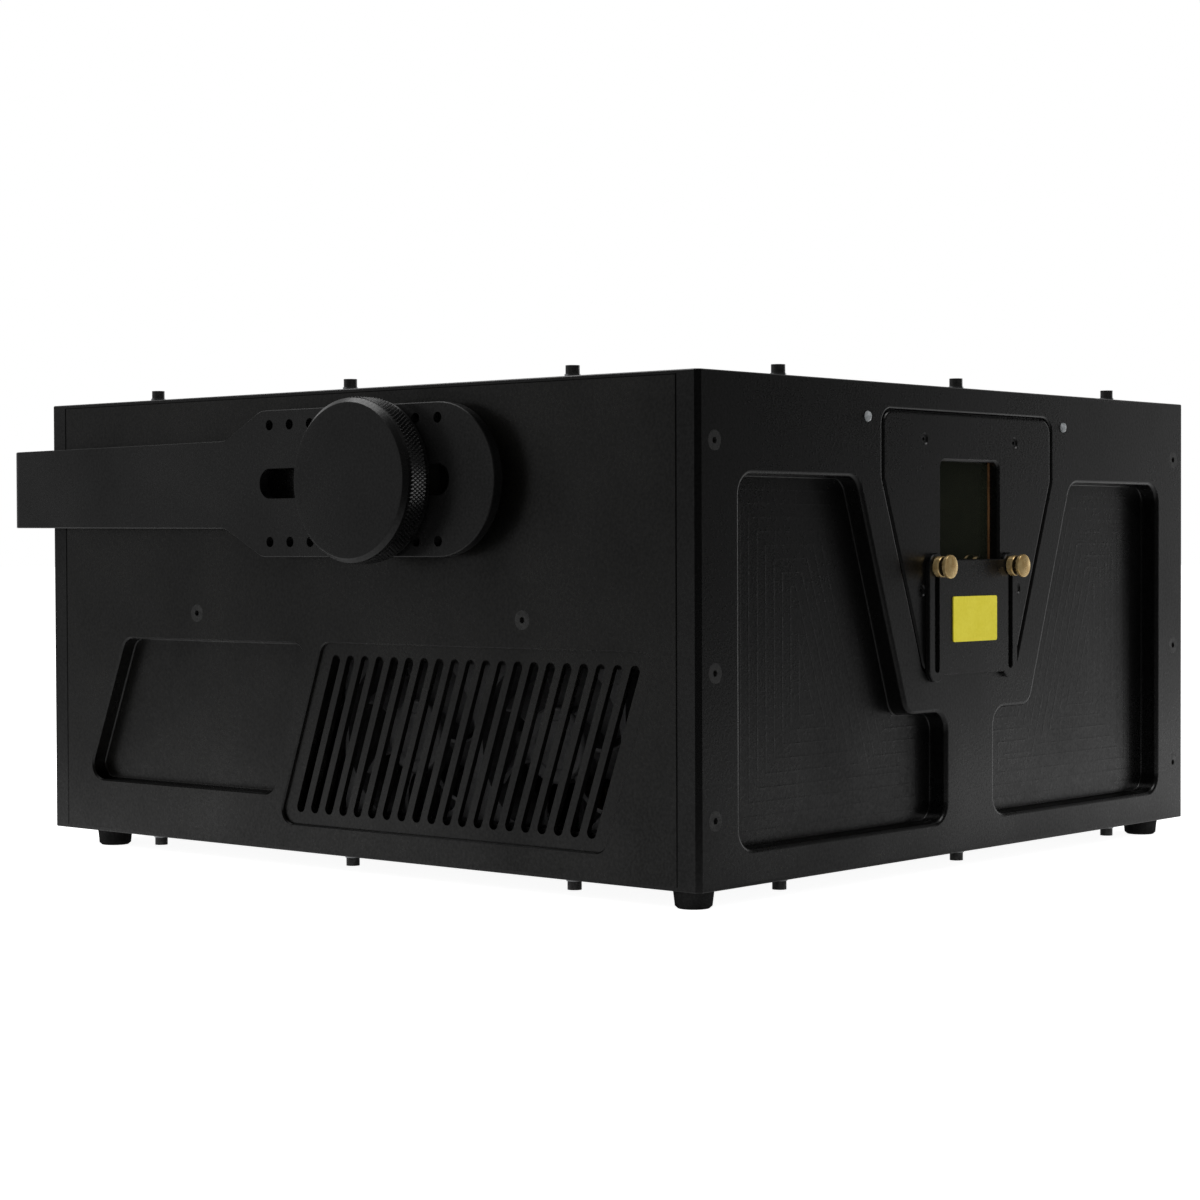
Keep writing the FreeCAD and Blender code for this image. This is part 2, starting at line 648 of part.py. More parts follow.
steps = ("-screw_pitch", "0", "screw_pitch")
cover_spots = [(step, "front_y + screw_inset") for step in steps]
cover_spots += [(step, "rear_y - screw_inset") for step in steps]
cover_spots += [(f"{side}(half_width - screw_inset)", f"middle_y + {step}")
                for side in ("-", "") for step in steps]
edge_heights = ["foot_height + edge_screw_low", "foot_height + edge_screw_middle",
                "top_z - edge_screw_drop"]
edge_spots = [(f"{side}(half_width - edge_screw_inset)", height)
              for side in ("-", "") for height in edge_heights]
side_screw_ys = ["front_y + side_screw_front", "front_y + side_screw_front + side_screw_pitch"]
side_screw_z = "deck_low_z + deck_thickness / 2"
plate_screw_spots = [
    ("-plate_screw_half", "plate_top_z - plate_screw_top"),
    ("plate_screw_half", "plate_top_z - plate_screw_top"),
    ("-plate_screw_low_half", "plate_top_z - plate_screw_top - plate_screw_step"),
    ("plate_screw_low_half", "plate_top_z - plate_screw_top - plate_screw_step"),
]
lens_spots = [("-lens_half", "top_z - lens_drop"), ("lens_half", "top_z - lens_drop")]
thumb_spots = [("-mask_slot_half", "thumb_z"), ("mask_slot_half", "thumb_z")]
fan_ys = ["grille_mid_y - fan_size / 2", "grille_mid_y + fan_size / 2"]
foot_spots = [(f"{side}(half_width - foot_inset)", y) for side in ("-", "")
              for y in ("front_y + foot_inset", "rear_y - foot_rear")]


def plate_outline(grow):
    """Aperture plate's corners, moved outwards by a gap."""
    wide = f"plate_half + {grow}"
    low = f"plate_low_half + {grow}"
    top = f"plate_top_z + {grow}"
    knee = "plate_top_z - plate_upright"
    bottom = f"plate_top_z - plate_tall - {grow}"
    right = [(wide, top), (wide, knee), (low, bottom)]
    return [(f"-({x})", z) for x, z in right] + right[::-1]


def near_points(edge, axes, points, reach=0.05):
    """True if a straight edge stands at one of the points."""
    place = [span(edge, axis)[0] for axis in axes]
    return any(abs(place[0] - x) < reach and abs(place[1] - y) < reach for x, y in points)


def outer_seam(edge, y):
    """True for a wall's upright outer edge where it meets the next wall."""
    sides = (("half_width", "half_width"), ("-half_width", "-half_width"))
    return any(within(edge, x=side, y=(y, y)) for side in sides)


def numbers(corners):
    return [(number(x), number(y)) for x, y in corners]


def threaded_edge_holes(body, spots):
    """Holes for the cover screws in the upper and lower edges of a wall."""
    for name, height, backwards in (("top_holes", "wall_top_z", False), ("low_holes", "wall_low_z", True)):
        drawing = sketch(body, name, "XY_Plane", height)
        for x, y in spots:
            circle(drawing, x, y, "hole_radius")
        pocket(body, drawing, "screw_depth + thread_gap", backwards)


def sunk_holes(body, name, spots, level, reverse):
    """Countersunk screw holes through a plate that faces front or rear."""
    drawing = sketch(body, name, "XZ_Plane", f"-({level})")
    for x, z in spots:
        circle(drawing, x, z, "sunk_hole")
    pocket(body, drawing, "front_edge + rear_thickness", reverse)
    at = numbers(spots)

    def is_mouth(edge):
        centre = edge.BoundBox.Center
        close = any(abs(centre.x - x) < 0.05 and abs(centre.z - z) < 0.05 for x, z in at)
        return close and within(edge, y=(level, level))
    dress(body, "Chamfer", "sunk_radius - sunk_shank", is_mouth)


# Case

def front_plate():
    body = new_body("front_plate")
    outer = sketch(body, "front_outer", "XZ_Plane", "-seam_y")
    rectangle(outer, ("-half_width", "half_width"), ("wall_low_z", "wall_top_z"))
    pad(body, outer, "front_edge")
    tongue = sketch(body, "front_tongue", "XZ_Plane", "-front_back_y")
    rectangle(tongue, ("fit_gap - inner_half", "inner_half - fit_gap"), ("wall_low_z", "wall_top_z"))
    pad(body, tongue, "front_thickness - front_edge")
    dress(body, "Chamfer", "corner_chamfer",
          lambda edge: straight_along(edge, "z") and within(edge, y=("front_y", "front_y")))
    dress(body, "Chamfer", "seam_edge", lambda edge: outer_seam(edge, "seam_y"))

    right = [("pocket_bar / 2", "foot_height + pocket_low"),
             ("half_width - pocket_inset", "foot_height + pocket_low"),
             ("half_width - pocket_inset", "top_z - pocket_drop"),
             ("slant_half", "top_z - pocket_drop"),
             ("ledge_half", "foot_height + pocket_ledge"),
             ("pocket_bar / 2", "foot_height + pocket_ledge")]
    left = [(f"-({x})", z) for x, z in right]
    hollows = sketch(body, "front_hollows", "XZ_Plane", "-front_y")
    polygon(hollows, right)
    polygon(hollows, left)
    pocket(body, hollows, "pocket_depth")
    corners = numbers(left + right)
    dress(body, "Fillet", "pocket_corner",
          lambda edge: straight_along(edge, "y") and near_points(edge, "xz", corners))
    floor = "front_y + pocket_depth"
    dress(body, "Fillet", "pocket_fillet", lambda edge: within(edge, y=(floor, floor)))
    inside = {"x": ("pocket_inset - half_width", "half_width - pocket_inset"),
              "z": ("foot_height + pocket_low", "top_z - pocket_drop")}
    dress(body, "Fillet", "pocket_rim", lambda edge: within(edge, y=("front_y", "front_y"), **inside))

    seat = sketch(body, "plate_seat", "XZ_Plane", "-front_y")
    polygon(seat, plate_outline("plate_gap"))
    pocket(body, seat, "plate_thickness")
    corners = numbers(plate_outline("plate_gap"))
    dress(body, "Fillet", "plate_corner",
          lambda edge: straight_along(edge, "y") and near_points(edge, "xz", corners))
    around = {"x": ("-plate_half - plate_gap", "plate_half + plate_gap"),
              "z": ("plate_top_z - plate_tall - plate_gap", "plate_top_z + plate_gap")}
    dress(body, "Fillet", "plate_edge", lambda edge: within(edge, y=("front_y", "front_y"), **around))
    rebate = sketch(body, "glass_seat", "XZ_Plane", "-front_back_y")
    half = "window_width / 2 + glass_lap + fit_gap"
    rectangle(rebate, (f"-({half})", half),
              ("window_low_z - glass_lap - fit_gap", "window_top_z + glass_lap + fit_gap"))
    pocket(body, rebate, "front_thickness - glass_set", True)
    opening = sketch(body, "beam_way", "XZ_Plane", "-front_y")
    rectangle(opening, ("-window_width / 2", "window_width / 2"), ("window_low_z", "window_top_z"))
    pocket(body, opening, "front_thickness")

    sunk_holes(body, "front_holes", edge_spots, "front_y", False)
    threaded_edge_holes(body, cover_spots[:3])
    threads = (("plate_holes", plate_screw_spots, "plate_screw_radius", "plate_screw_length"),
               ("thumb_holes", thumb_spots, "thumb_shank_radius", "thumb_depth"))
    for name, spots, radius, depth in threads:
        small = sketch(body, name, "XZ_Plane", "-(front_y + plate_thickness)")
        for x, z in spots:
            circle(small, x, z, f"{radius} + thread_gap")
        pocket(body, small, f"{depth} - plate_thickness + 2 * fit_gap + plate_screw_sink")
    lights = sketch(body, "lens_holes", "XZ_Plane", "-front_y")
    for x, z in lens_spots:
        circle(lights, x, z, "lens_radius + thread_gap")
    pocket(body, lights, "lens_length + fit_gap")
    return body


def leaning(y, z, lean):
    """The y of a leaning line at height z, from its y at the grille's half height."""
    return f"{y} - ({z} - grille_mid_z) * tan({lean})"


def side_panel_left():
    body = new_body("side_panel_left")
    outside = "-half_width"
    slab = sketch(body, "side_slab", "YZ_Plane", outside)
    rectangle(slab, ("seam_y", "rear_seam_y"), ("wall_low_z", "wall_top_z"))
    pad(body, slab, "side_thickness")
    dress(body, "Chamfer", "seam_edge",
          lambda edge: outer_seam(edge, "seam_y") or outer_seam(edge, "rear_seam_y"))

    low, high = "foot_height + grille_low", "foot_height + grille_low + grille_tall"
    front = "front_y + grille_inset"
    rear = "front_y + grille_inset + grille_length"
    frame = [(leaning(y, z, "grille_lean"), z)
             for y, z in ((front, low), (rear, low), (rear, high), (front, high))]
    face = sketch(body, "grille_face", "YZ_Plane", outside)
    polygon(face, frame)
    pocket(body, face, "grille_recess", True)
    corners = numbers(frame)
    dress(body, "Fillet", "grille_corner",
          lambda edge: straight_along(edge, "x") and near_points(edge, "yz", corners))
    around = {"y": (leaning(front, high, "grille_lean"), leaning(rear, low, "grille_lean")), "z": (low, high)}
    dress(body, "Chamfer", "grille_rim", lambda edge: within(edge, x=(outside, outside), **around))

    reach = "slot_pitch * (slot_count - 1) / 2 + slot_wide / 2 + hollow_margin"
    rise = "fan_hole_pitch / 2 - hollow_ledge"
    y0, y1 = f"grille_mid_y - ({reach})", f"grille_mid_y + {reach}"
    z0, z1 = f"grille_mid_z - ({rise})", f"grille_mid_z + {rise}"
    hollow = sketch(body, "grille_hollow", "YZ_Plane", "-inner_half")
    polygon(hollow, [(leaning(y, z, "grille_lean"), z)
                     for y, z in ((y0, z0), (y1, z0), (y1, z1), (y0, z1))])
    pocket(body, hollow, "side_thickness - grille_recess - grille_web")
    slot = sketch(body, "grille_slot", "YZ_Plane", "grille_recess - half_width")
    first = "grille_mid_y - slot_pitch * (slot_count - 1) / 2"
    bottom, top = [(leaning(first, z, "grille_lean"), z)
                   for z in (f"{low} + slot_margin", f"{high} - slot_margin")]
    obround(slot, bottom, top, "slot_wide / 2")
    first_slot = pocket(body, slot, "grille_web + fit_gap", True)
    row = body.newObject("PartDesign::LinearPattern", "grille_slots")
    row.Originals = [first_slot]
    row.Direction = (slot, ["H_Axis"])
    bind(row, "Length", "slot_pitch * (slot_count - 1)")
    bind(row, "Occurrences", "slot_count")
    body.Tip = row
    doc.recompute()

    low, high = "foot_height + recess_low", "foot_height + recess_low + recess_tall"
    front = f"{rear} + recess_rail"
    rear = "rear_y - recess_rear"
    frame = [(leaning(front, low, "grille_lean"), low), (leaning(rear, low, "recess_lean"), low),
             (leaning(rear, high, "recess_lean"), high), (leaning(front, high, "grille_lean"), high)]
    recess = sketch(body, "side_recess", "YZ_Plane", outside)
    polygon(recess, frame)
    pocket(body, recess, "recess_depth", True)
    corners = numbers(frame)
    dress(body, "Fillet", "recess_corner",
          lambda edge: straight_along(edge, "x") and near_points(edge, "yz", corners))
    around = {"y": (leaning(front, high, "grille_lean"), leaning(rear, low, "recess_lean")),
              "z": (low, high)}
    floor = "recess_depth - half_width"
    dress(body, "Fillet", "recess_rim", lambda edge: within(edge, x=(floor, floor), **around))
    dress(body, "Chamfer", "recess_rim", lambda edge: within(edge, x=(outside, outside), **around))

    holes = sketch(body, "deck_holes", "YZ_Plane", outside)
    for y in side_screw_ys:
        circle(holes, y, side_screw_z, "sunk_hole")
    pocket(body, holes, "side_thickness", True)
    at = numbers((y, side_screw_z) for y in side_screw_ys)

    def is_mouth(edge):
        centre = edge.BoundBox.Center
        close = any(abs(centre.y - y) < 0.05 and abs(centre.z - z) < 0.05 for y, z in at)
        return close and within(edge, x=(outside, outside))
    dress(body, "Chamfer", "sunk_radius - sunk_shank", is_mouth)
    bore = sketch(body, "stud_bore", "YZ_Plane", outside)
    circle(bore, "pivot_y", "pivot_z", "stud_radius + thread_gap")
    pocket(body, bore, "side_thickness", True)
    fan_holes = sketch(body, "fan_holes", "YZ_Plane", "-inner_half")
    for y in fan_ys:
        for dy in ("-", "+"):
            for dz in ("-", "+"):
                circle(fan_holes, f"{y} {dy} fan_hole_pitch / 2", f"grille_mid_z {dz} fan_hole_pitch / 2",
                       "foot_screw_radius + thread_gap")
    pocket(body, fan_holes, "screw_depth")
    threaded_edge_holes(body, cover_spots[6:9])
    for name, level, backwards in (("front_end", "seam_y", False), ("rear_end", "rear_seam_y", True)):
        ends = sketch(body, name, "XZ_Plane", f"-{level}")
        for x, z in edge_spots[:3]:
            circle(ends, x, z, "sunk_hole")
        pocket(body, ends, "sunk_length", backwards)
    return body


def rear_panel():
    body = new_body("rear_panel")
    slab = sketch(body, "rear_slab", "XZ_Plane", "-rear_y")
    rectangle(slab, ("-half_width", "half_width"), ("wall_low_z", "wall_top_z"))
    pad(body, slab, "rear_thickness")
    dress(body, "Chamfer", "corner_chamfer",
          lambda edge: straight_along(edge, "z") and within(edge, y=("rear_y", "rear_y")))
    dress(body, "Chamfer", "seam_edge", lambda edge: outer_seam(edge, "rear_seam_y"))
    sunk_holes(body, "rear_holes", edge_spots, "rear_y", True)
    threaded_edge_holes(body, cover_spots[3:6])
    openings = sketch(body, "fitting_holes", "XZ_Plane", "-rear_y")
    for x, wide, tall in (("inlet_x", "inlet_wide", "inlet_tall"),
                          ("switch_x", "switch_wide", "switch_tall")):
        rectangle(openings, (f"{x} - {wide} / 2 - fit_gap", f"{x} + {wide} / 2 + fit_gap"),
                  (f"fitting_z - {tall} / 2 - fit_gap", f"fitting_z + {tall} / 2 + fit_gap"))
    circle(openings, "lock_x", "fitting_z", "lock_radius + fit_gap")
    for index in range(int(number("socket_count"))):
        circle(openings, f"socket_x + {index} * socket_pitch", "fitting_z", "socket_radius + fit_gap")
    pocket(body, openings, "rear_thickness", True)
    return body


def cover(name, level, extra):
    """A sheet with cut corners; the extra spots are holes for the foot screws."""
    body = new_body(name)
    slab = sketch(body, name + "_sheet", "XY_Plane", level)
    polygon(slab, [
        ("corner_chamfer - half_width", "front_y"), ("half_width - corner_chamfer", "front_y"),
        ("half_width", "front_y + corner_chamfer"), ("half_width", "rear_y - corner_chamfer"),
        ("half_width - corner_chamfer", "rear_y"), ("corner_chamfer - half_width", "rear_y"),
        ("-half_width", "rear_y - corner_chamfer"), ("-half_width", "front_y + corner_chamfer")])
    pad(body, slab, "cover_thickness")
    outer = level if name == "bottom_cover" else f"{level} + cover_thickness"
    dress(body, "Chamfer", "cover_edge", lambda edge: within(edge, z=(outer, outer)))
    holes = sketch(body, name + "_holes", "XY_Plane", level)
    for x, y in cover_spots:
        circle(holes, x, y, "hole_radius")
    for x, y in extra:
        circle(holes, x, y, "foot_screw_radius + thread_gap")
    pocket(body, holes, "cover_thickness", True)
    return body


def case_screws():
    cap = cap_screw()
    ring = washer()
    high = [((x, y, "top_z + washer_thickness"), facing["up"]) for x, y in cover_spots]
    low = [((x, y, "foot_height - washer_thickness"), facing["down"]) for x, y in cover_spots]
    screws = copies("cover_screws", cap, high + low)
    high = [((x, y, "top_z"), facing["up"]) for x, y in cover_spots]
    low = [((x, y, "foot_height"), facing["down"]) for x, y in cover_spots]
    washers = copies("cover_washers", ring, high + low)
    sunk = sunk_screw("sunk_screw", "sunk_radius", "sunk_shank", "sunk_length", "sunk_socket")
    front = copies("front_screws", sunk, [((x, "front_y", z), facing["front"]) for x, z in edge_spots])
    rear = copies("rear_screws", sunk, [((x, "rear_y", z), facing["rear"]) for x, z in edge_spots])
    left = [(("-half_width", y, side_screw_z), facing["left"]) for y in side_screw_ys]
    right = [(("half_width", y, side_screw_z), facing["right"]) for y in side_screw_ys]
    return [screws, washers, front, rear, copies("side_screws", sunk, left + right)]


def feet():
    low = "foot_low_radius + foot_edge * (foot_radius - foot_low_radius) / foot_height"
    rubber = turned("foot", [
        ("foot_well", "0"), ("foot_low_radius - foot_edge", "0"), (low, "foot_edge"),
        ("foot_radius", "foot_height"), ("foot_screw_radius + thread_gap", "foot_height"),
        ("foot_screw_radius + thread_gap", "foot_well_depth"), ("foot_well", "foot_well_depth")])
    tip = "foot_height + cover_thickness"
    under = "foot_well_depth - foot_screw_head_height"
    screw = turned("foot_screw", [
        ("0", under), ("foot_screw_head", under), ("foot_screw_head", "foot_well_depth"),
        ("foot_screw_radius", "foot_well_depth"), ("foot_screw_radius", tip), ("0", tip)])
    spots = [((x, y, "0"), facing["up"]) for x, y in foot_spots]
    return [copies("feet", rubber, spots), copies("foot_screws", screw, spots)]


# Aperture

def aperture_plate():
    body = new_body("aperture_plate")
    back = "front_y + plate_thickness"
    shape = sketch(body, "plate_shape", "XZ_Plane", f"-({back})")
    polygon(shape, plate_outline("0"))
    pad(body, shape, "plate_thickness")
    corners = numbers(plate_outline("0"))
    dress(body, "Fillet", "plate_corner",
          lambda edge: straight_along(edge, "y") and near_points(edge, "xz", corners))
    dress(body, "Fillet", "plate_edge", lambda edge: within(edge, y=("front_y", "front_y")))
    opening = sketch(body, "window_shape", "XZ_Plane", "-front_y")
    frame = [("-window_width / 2", "window_low_z"), ("window_width / 2", "window_low_z"),
             ("window_width / 2", "window_top_z"), ("-window_width / 2", "window_top_z")]
    polygon(opening, frame)
    pocket(body, opening, "plate_thickness")
    corners = numbers(frame)
    dress(body, "Fillet", "window_corner",
          lambda edge: straight_along(edge, "y") and near_points(edge, "xz", corners))
    around = {"x": ("-window_width / 2", "window_width / 2"), "z": ("window_low_z", "window_top_z")}
    dress(body, "Chamfer", "window_edge", lambda edge: within(edge, y=("front_y", "front_y"), **around))
    holes = sketch(body, "plate_screw_holes", "XZ_Plane", "-front_y")
    for x, z in plate_screw_spots:
        circle(holes, x, z, "plate_screw_radius + thread_gap")
    for x, z in thumb_spots:
        circle(holes, x, z, "thumb_shank_radius + thread_gap")
    pocket(body, holes, "plate_thickness")
    at = numbers(plate_screw_spots)

    def is_mouth(edge):
        centre = edge.BoundBox.Center
        close = any(abs(centre.x - x) < 0.05 and abs(centre.z - z) < 0.05 for x, z in at)
        return close and within(edge, y=("front_y", "front_y"))
    dress(body, "Chamfer", "plate_screw_head - plate_screw_radius + plate_screw_sink", is_mouth)
    return body


def window():
    half = "window_width / 2 + glass_lap"
    low, high = "window_low_z - glass_lap", "window_top_z + glass_lap"
    back = "glass_y + glass_thickness"
    glass = block("window_glass", (f"-({half})", half), ("glass_y", back), (low, high))
    depth = (back, f"{back} + gasket_thickness")
    ring = block("gasket_ring", (f"-({half})", half), depth, (low, high))
    hole = block("gasket_hole", ("-window_width / 2", "window_width / 2"), depth,
                 ("window_low_z", "window_top_z"))
    gasket = cut("window_gasket", ring, [hole])
    strips = []
    for side in ("-", ""):
        edge = f"{side}(window_width / 2)"
        inner = f"{side}(window_width / 2 - clip_width)"
        x = (edge, inner) if side else (inner, edge)
        strips.append(block("window_clip", x, ("glass_y - clip_thickness", "glass_y"),
                            ("window_low_z", "window_top_z")))
    return [glass, gasket, group("window_clips", strips)]


def indicator_lenses():
    lens = turned("lens", [
        ("0", "-lens_length"), ("lens_radius", "-lens_length"), ("lens_radius", "0"),
        ("lens_radius * 0.87", "lens_dome * 0.5"), ("lens_radius * 0.5", "lens_dome * 0.87"),
        ("0", "lens_dome")])
    return copies("indicator_lenses", lens, [((x, "front_y", z), facing["front"]) for x, z in lens_spots])


def aperture_mask():
    body = new_body("aperture_mask")
    panel = sketch(body, "mask_panel", "XZ_Plane", "-mask_back_y")
    rectangle(panel, ("-mask_slot_half", "mask_slot_half"),
              ("mask_low_z - ear_radius + ear_step", "thumb_z + ear_radius - ear_step"))
    pad(body, panel, "mask_thickness")
    ears = sketch(body, "mask_ears", "XZ_Plane", "-mask_back_y")
    for side in ("-", ""):
        x = f"{side}mask_slot_half"
        obround(ears, (x, "mask_low_z"), (x, "thumb_z"), "ear_radius")
    pad(body, ears, "mask_thickness")
    dress(body, "Chamfer", "mask_edge", lambda edge: within(edge, y=("mask_front_y", "mask_front_y")))
    slots = sketch(body, "mask_slots", "XZ_Plane", "-mask_front_y")
    for side in ("-", ""):
        x = f"{side}mask_slot_half"
        obround(slots, (x, "mask_low_z"), (x, "thumb_z"), "mask_slot_width / 2")
    pocket(body, slots, "mask_thickness")
    return body


def mask_blank():
    body = new_body("mask_blank")
    shape = sketch(body, "blank_shape", "XZ_Plane", "-mask_front_y")
    middle = "mask_low_z + blank_rise"
    rectangle(shape, ("-blank_width / 2", "blank_width / 2"),
              (f"{middle} - blank_tall / 2", f"{middle} + blank_tall / 2"))
    pad(body, shape, "blank_thickness")
    dress(body, "Fillet", "blank_thickness * 2", lambda edge: straight_along(edge, "y"))
    return body


def thumbscrews():
    made = []
    neck = "slide_gap + collar_length"
    head = f"{neck} + neck_length"
    top = f"{head} + head_length"
    tip = "-(mask_thickness + thumb_depth)"
    for name, (x, z) in zip(("thumbscrew_left", "thumbscrew_right"), thumb_spots):
        screw = turned(name, [
            ("0", tip), ("thumb_shank_radius", tip), ("thumb_shank_radius", "slide_gap"),
            ("collar_radius - thumb_edge", "slide_gap"), ("collar_radius", "slide_gap + thumb_edge"),
            ("collar_radius", f"{neck} - thumb_edge"), ("collar_radius - thumb_edge", neck),
            ("neck_radius", neck), ("neck_radius", head), ("head_radius", f"{head} + head_cone"),
            ("head_radius", f"{top} - thumb_edge"), ("head_radius - thumb_edge", top), ("0", top)])
        made.append(put(screw, (x, "mask_front_y", z), facing["front"]))
    return made


# Yoke

def yoke():
    body = new_body("yoke")
    front, rear = "pivot_y - arm_slot_front", "pivot_y + arm_slot_rear"
    shoulder = f"{rear} + shoulder_start"
    waist = f"{shoulder} + shoulder_length"
    end = "bar_y + arm_thickness"
    shape = sketch(body, "arm_shape", "YZ_Plane")
    upper = [(front, "pivot_z + arm_head / 2"), (shoulder, "pivot_z + arm_head / 2"),
             (waist, "pivot_z + arm_width / 2"), (end, "pivot_z + bar_width / 2")]
    lower = [(y, z.replace("+", "-")) for y, z in upper]
    polygon(shape, upper + lower[::-1])
    pad(body, shape, "2 * arm_out_x", middle=True)
    corners = numbers(upper[1:3] + lower[1:3])
    dress(body, "Fillet", "shoulder_round",
          lambda edge: straight_along(edge, "x") and near_points(edge, "yz", corners))
    heads = sketch(body, "arm_heads", "YZ_Plane")
    circle(heads, front, "pivot_z", "arm_head / 2")
    pad(body, heads, "2 * arm_out_x", middle=True)
    inside = sketch(body, "yoke_inside", "XY_Plane", "pivot_z")
    rectangle(inside, ("-arm_x", "arm_x"), ("pivot_y - arm_slot_front - arm_head", "bar_y"))
    pocket(body, inside)
    dress(body, "Fillet", "bend_radius",
          lambda edge: straight_along(edge, "z") and within(edge, y=("bar_y", "bar_y")))
    dress(body, "Fillet", "bend_radius + arm_thickness",
          lambda edge: straight_along(edge, "z") and within(edge, y=(end, end)))
    dress(body, "Chamfer", "yoke_edge",
          lambda edge: (within(edge, x=("arm_out_x", "arm_out_x"))
                        or within(edge, x=("-arm_out_x", "-arm_out_x"))))
    slots = sketch(body, "arm_slots", "YZ_Plane")
    obround(slots, (front, "pivot_z"), (rear, "pivot_z"), "arm_slot / 2")
    step = "(arm_slot_front + arm_slot_rear) / (arm_holes - 1)"
    for index in range(int(number("arm_holes"))):
        for side in ("+", "-"):
            circle(slots, f"{front} + {index} * {step}", f"pivot_z {side} arm_hole_rise", "arm_hole_radius")
    pocket(body, slots)
    bolts = sketch(body, "bar_bolts", "XZ_Plane", f"-({end})")
    circle(bolts, "0", "pivot_z", "bar_bolt_radius")
    for side in ("-", ""):
        circle(bolts, f"{side}bar_bolt_pitch / 2", "pivot_z", "bar_side_bolt_radius")
    pocket(body, bolts, "arm_thickness", True)
    return body


def clamps():
    """Studs in the side panels, the discs that the arms turn with, and the knobs that squeeze them."""
    tip = "side_thickness + arm_gap + arm_thickness + stud_grip"
    stud = turned("stud", [
        ("0", "-stud_flange_thickness"), ("stud_flange", "-stud_flange_thickness"), ("stud_flange", "0"),
        ("stud_radius", "0"), ("stud_radius", tip), ("0", tip)])
    disc = turned("disc", [
        ("stud_radius + thread_gap", "slide_gap"), ("disc_radius", "slide_gap"),
        ("disc_radius", "arm_gap - slide_gap"), ("stud_radius + thread_gap", "arm_gap - slide_gap")])
    sides = (("left", "-"), ("right", ""))
    studs = copies("pivot_studs", stud, [((f"{sign}inner_half", "pivot_y", "pivot_z"), facing[side])
                                         for side, sign in sides])
    discs = copies("friction_discs", disc, [((f"{sign}half_width", "pivot_y", "pivot_z"), facing[side])
                                            for side, sign in sides])
    made = [studs, discs]
    for side, sign in sides:
        knob = turned(f"knob_{side}", [
            ("stud_radius + thread_gap", "slide_gap"), ("knob_radius - knob_edge", "slide_gap"),
            ("knob_radius", "slide_gap + knob_edge"), ("knob_radius", "knob_thickness - knob_edge"),
            ("knob_radius - knob_edge", "knob_thickness"), ("0", "knob_thickness"),
            ("0", "stud_grip + fit_gap"), ("stud_radius + thread_gap", "stud_grip + fit_gap")])
        made.append(put(knob, (f"{sign}arm_out_x", "pivot_y", "pivot_z"), facing[side]))
    return made


# Cooling

def fan_frames():
    half = "fan_size / 2"
    square = block("fan_square", (f"-{half}", half), (f"-{half}", half), ("0", "fan_depth"))
    duct = rod("fan_duct", ("0", "0", "0"), "fan_depth", "fan_bore / 2")
    shell = cut("fan_shell", square, [duct])
    seat_z = "fan_depth - fan_seat_depth"
    seat = rod("fan_seat", ("0", "0", seat_z), "fan_seat_depth", "fan_seat_radius")
    pin_low = "fan_front + fan_depth / 3"
    shaft = rod("fan_shaft", ("0", "0", pin_low), f"fan_depth - fan_seat_depth / 2 - ({pin_low})",
                "fan_pin_radius")
    along = ("-(fan_bore / 2 + 1)", "fan_bore / 2 + 1")
    across = ("-fan_strut / 2", "fan_strut / 2")
    struts = [block("fan_strut", along, across, (seat_z, "fan_depth")),
              block("fan_strut", across, along, (seat_z, "fan_depth"))]
    holes = [rod("fan_hole", (f"{dx}fan_hole_pitch / 2", f"{dy}fan_hole_pitch / 2", "0"), "fan_depth",
                 "foot_screw_radius + thread_gap") for dx in ("-", "") for dy in ("-", "")]
    frame = cut("fan_frame", join("fan_frame_blank", [shell, seat, shaft] + struts), holes)
    return copies("fan_frames", frame, [((f"{sign}inner_half", y, "grille_mid_z"), facing[way])
                                        for sign, way in (("-", "right"), ("", "left")) for y in fan_ys])


def fan_rotors():
    body = new_body("fan_rotor")
    top = "fan_depth - fan_seat_depth - 1"
    hub = sketch(body, "fan_hub", "XY_Plane", "fan_front")
    circle(hub, "0", "0", "fan_hub_radius")
    pad(body, hub, f"{top} - fan_front")
    blade = sketch(body, "fan_blade", "YZ_Plane", "fan_hub_radius - 2")
    low, high = "fan_front + 1", f"{top} - 1"
    polygon(blade, [
        ("-fan_blade_sweep - fan_blade_thickness", low), ("-fan_blade_sweep + fan_blade_thickness", low),
        ("fan_blade_sweep + fan_blade_thickness", high), ("fan_blade_sweep - fan_blade_thickness", high)])
    vane = pad(body, blade, "fan_tip_radius - fan_hub_radius + 2")
    ring = body.newObject("PartDesign::PolarPattern", "fan_vanes")
    ring.Originals = [vane]
    ring.Axis = (hub, ["N_Axis"])
    ring.Angle = 360
    bind(ring, "Occurrences", "fan_blades")
    body.Tip = ring
    doc.recompute()
    bore = sketch(body, "fan_bore_hole", "XY_Plane", top)
    circle(bore, "0", "0", "fan_pin_radius + thread_gap")
    pocket(body, bore, f"{top} - fan_front - fan_depth / 3 + fit_gap")
    made = []
    for side, sign, way in (("left", "-", "right"), ("right", "", "left")):
        for end, y in zip(("front", "rear"), fan_ys):
            spot = (f"{sign}inner_half", y, "grille_mid_z")
            made.append(copies(f"fan_rotor_{side}_{end}", body, [(spot, facing[way])]))
    return made


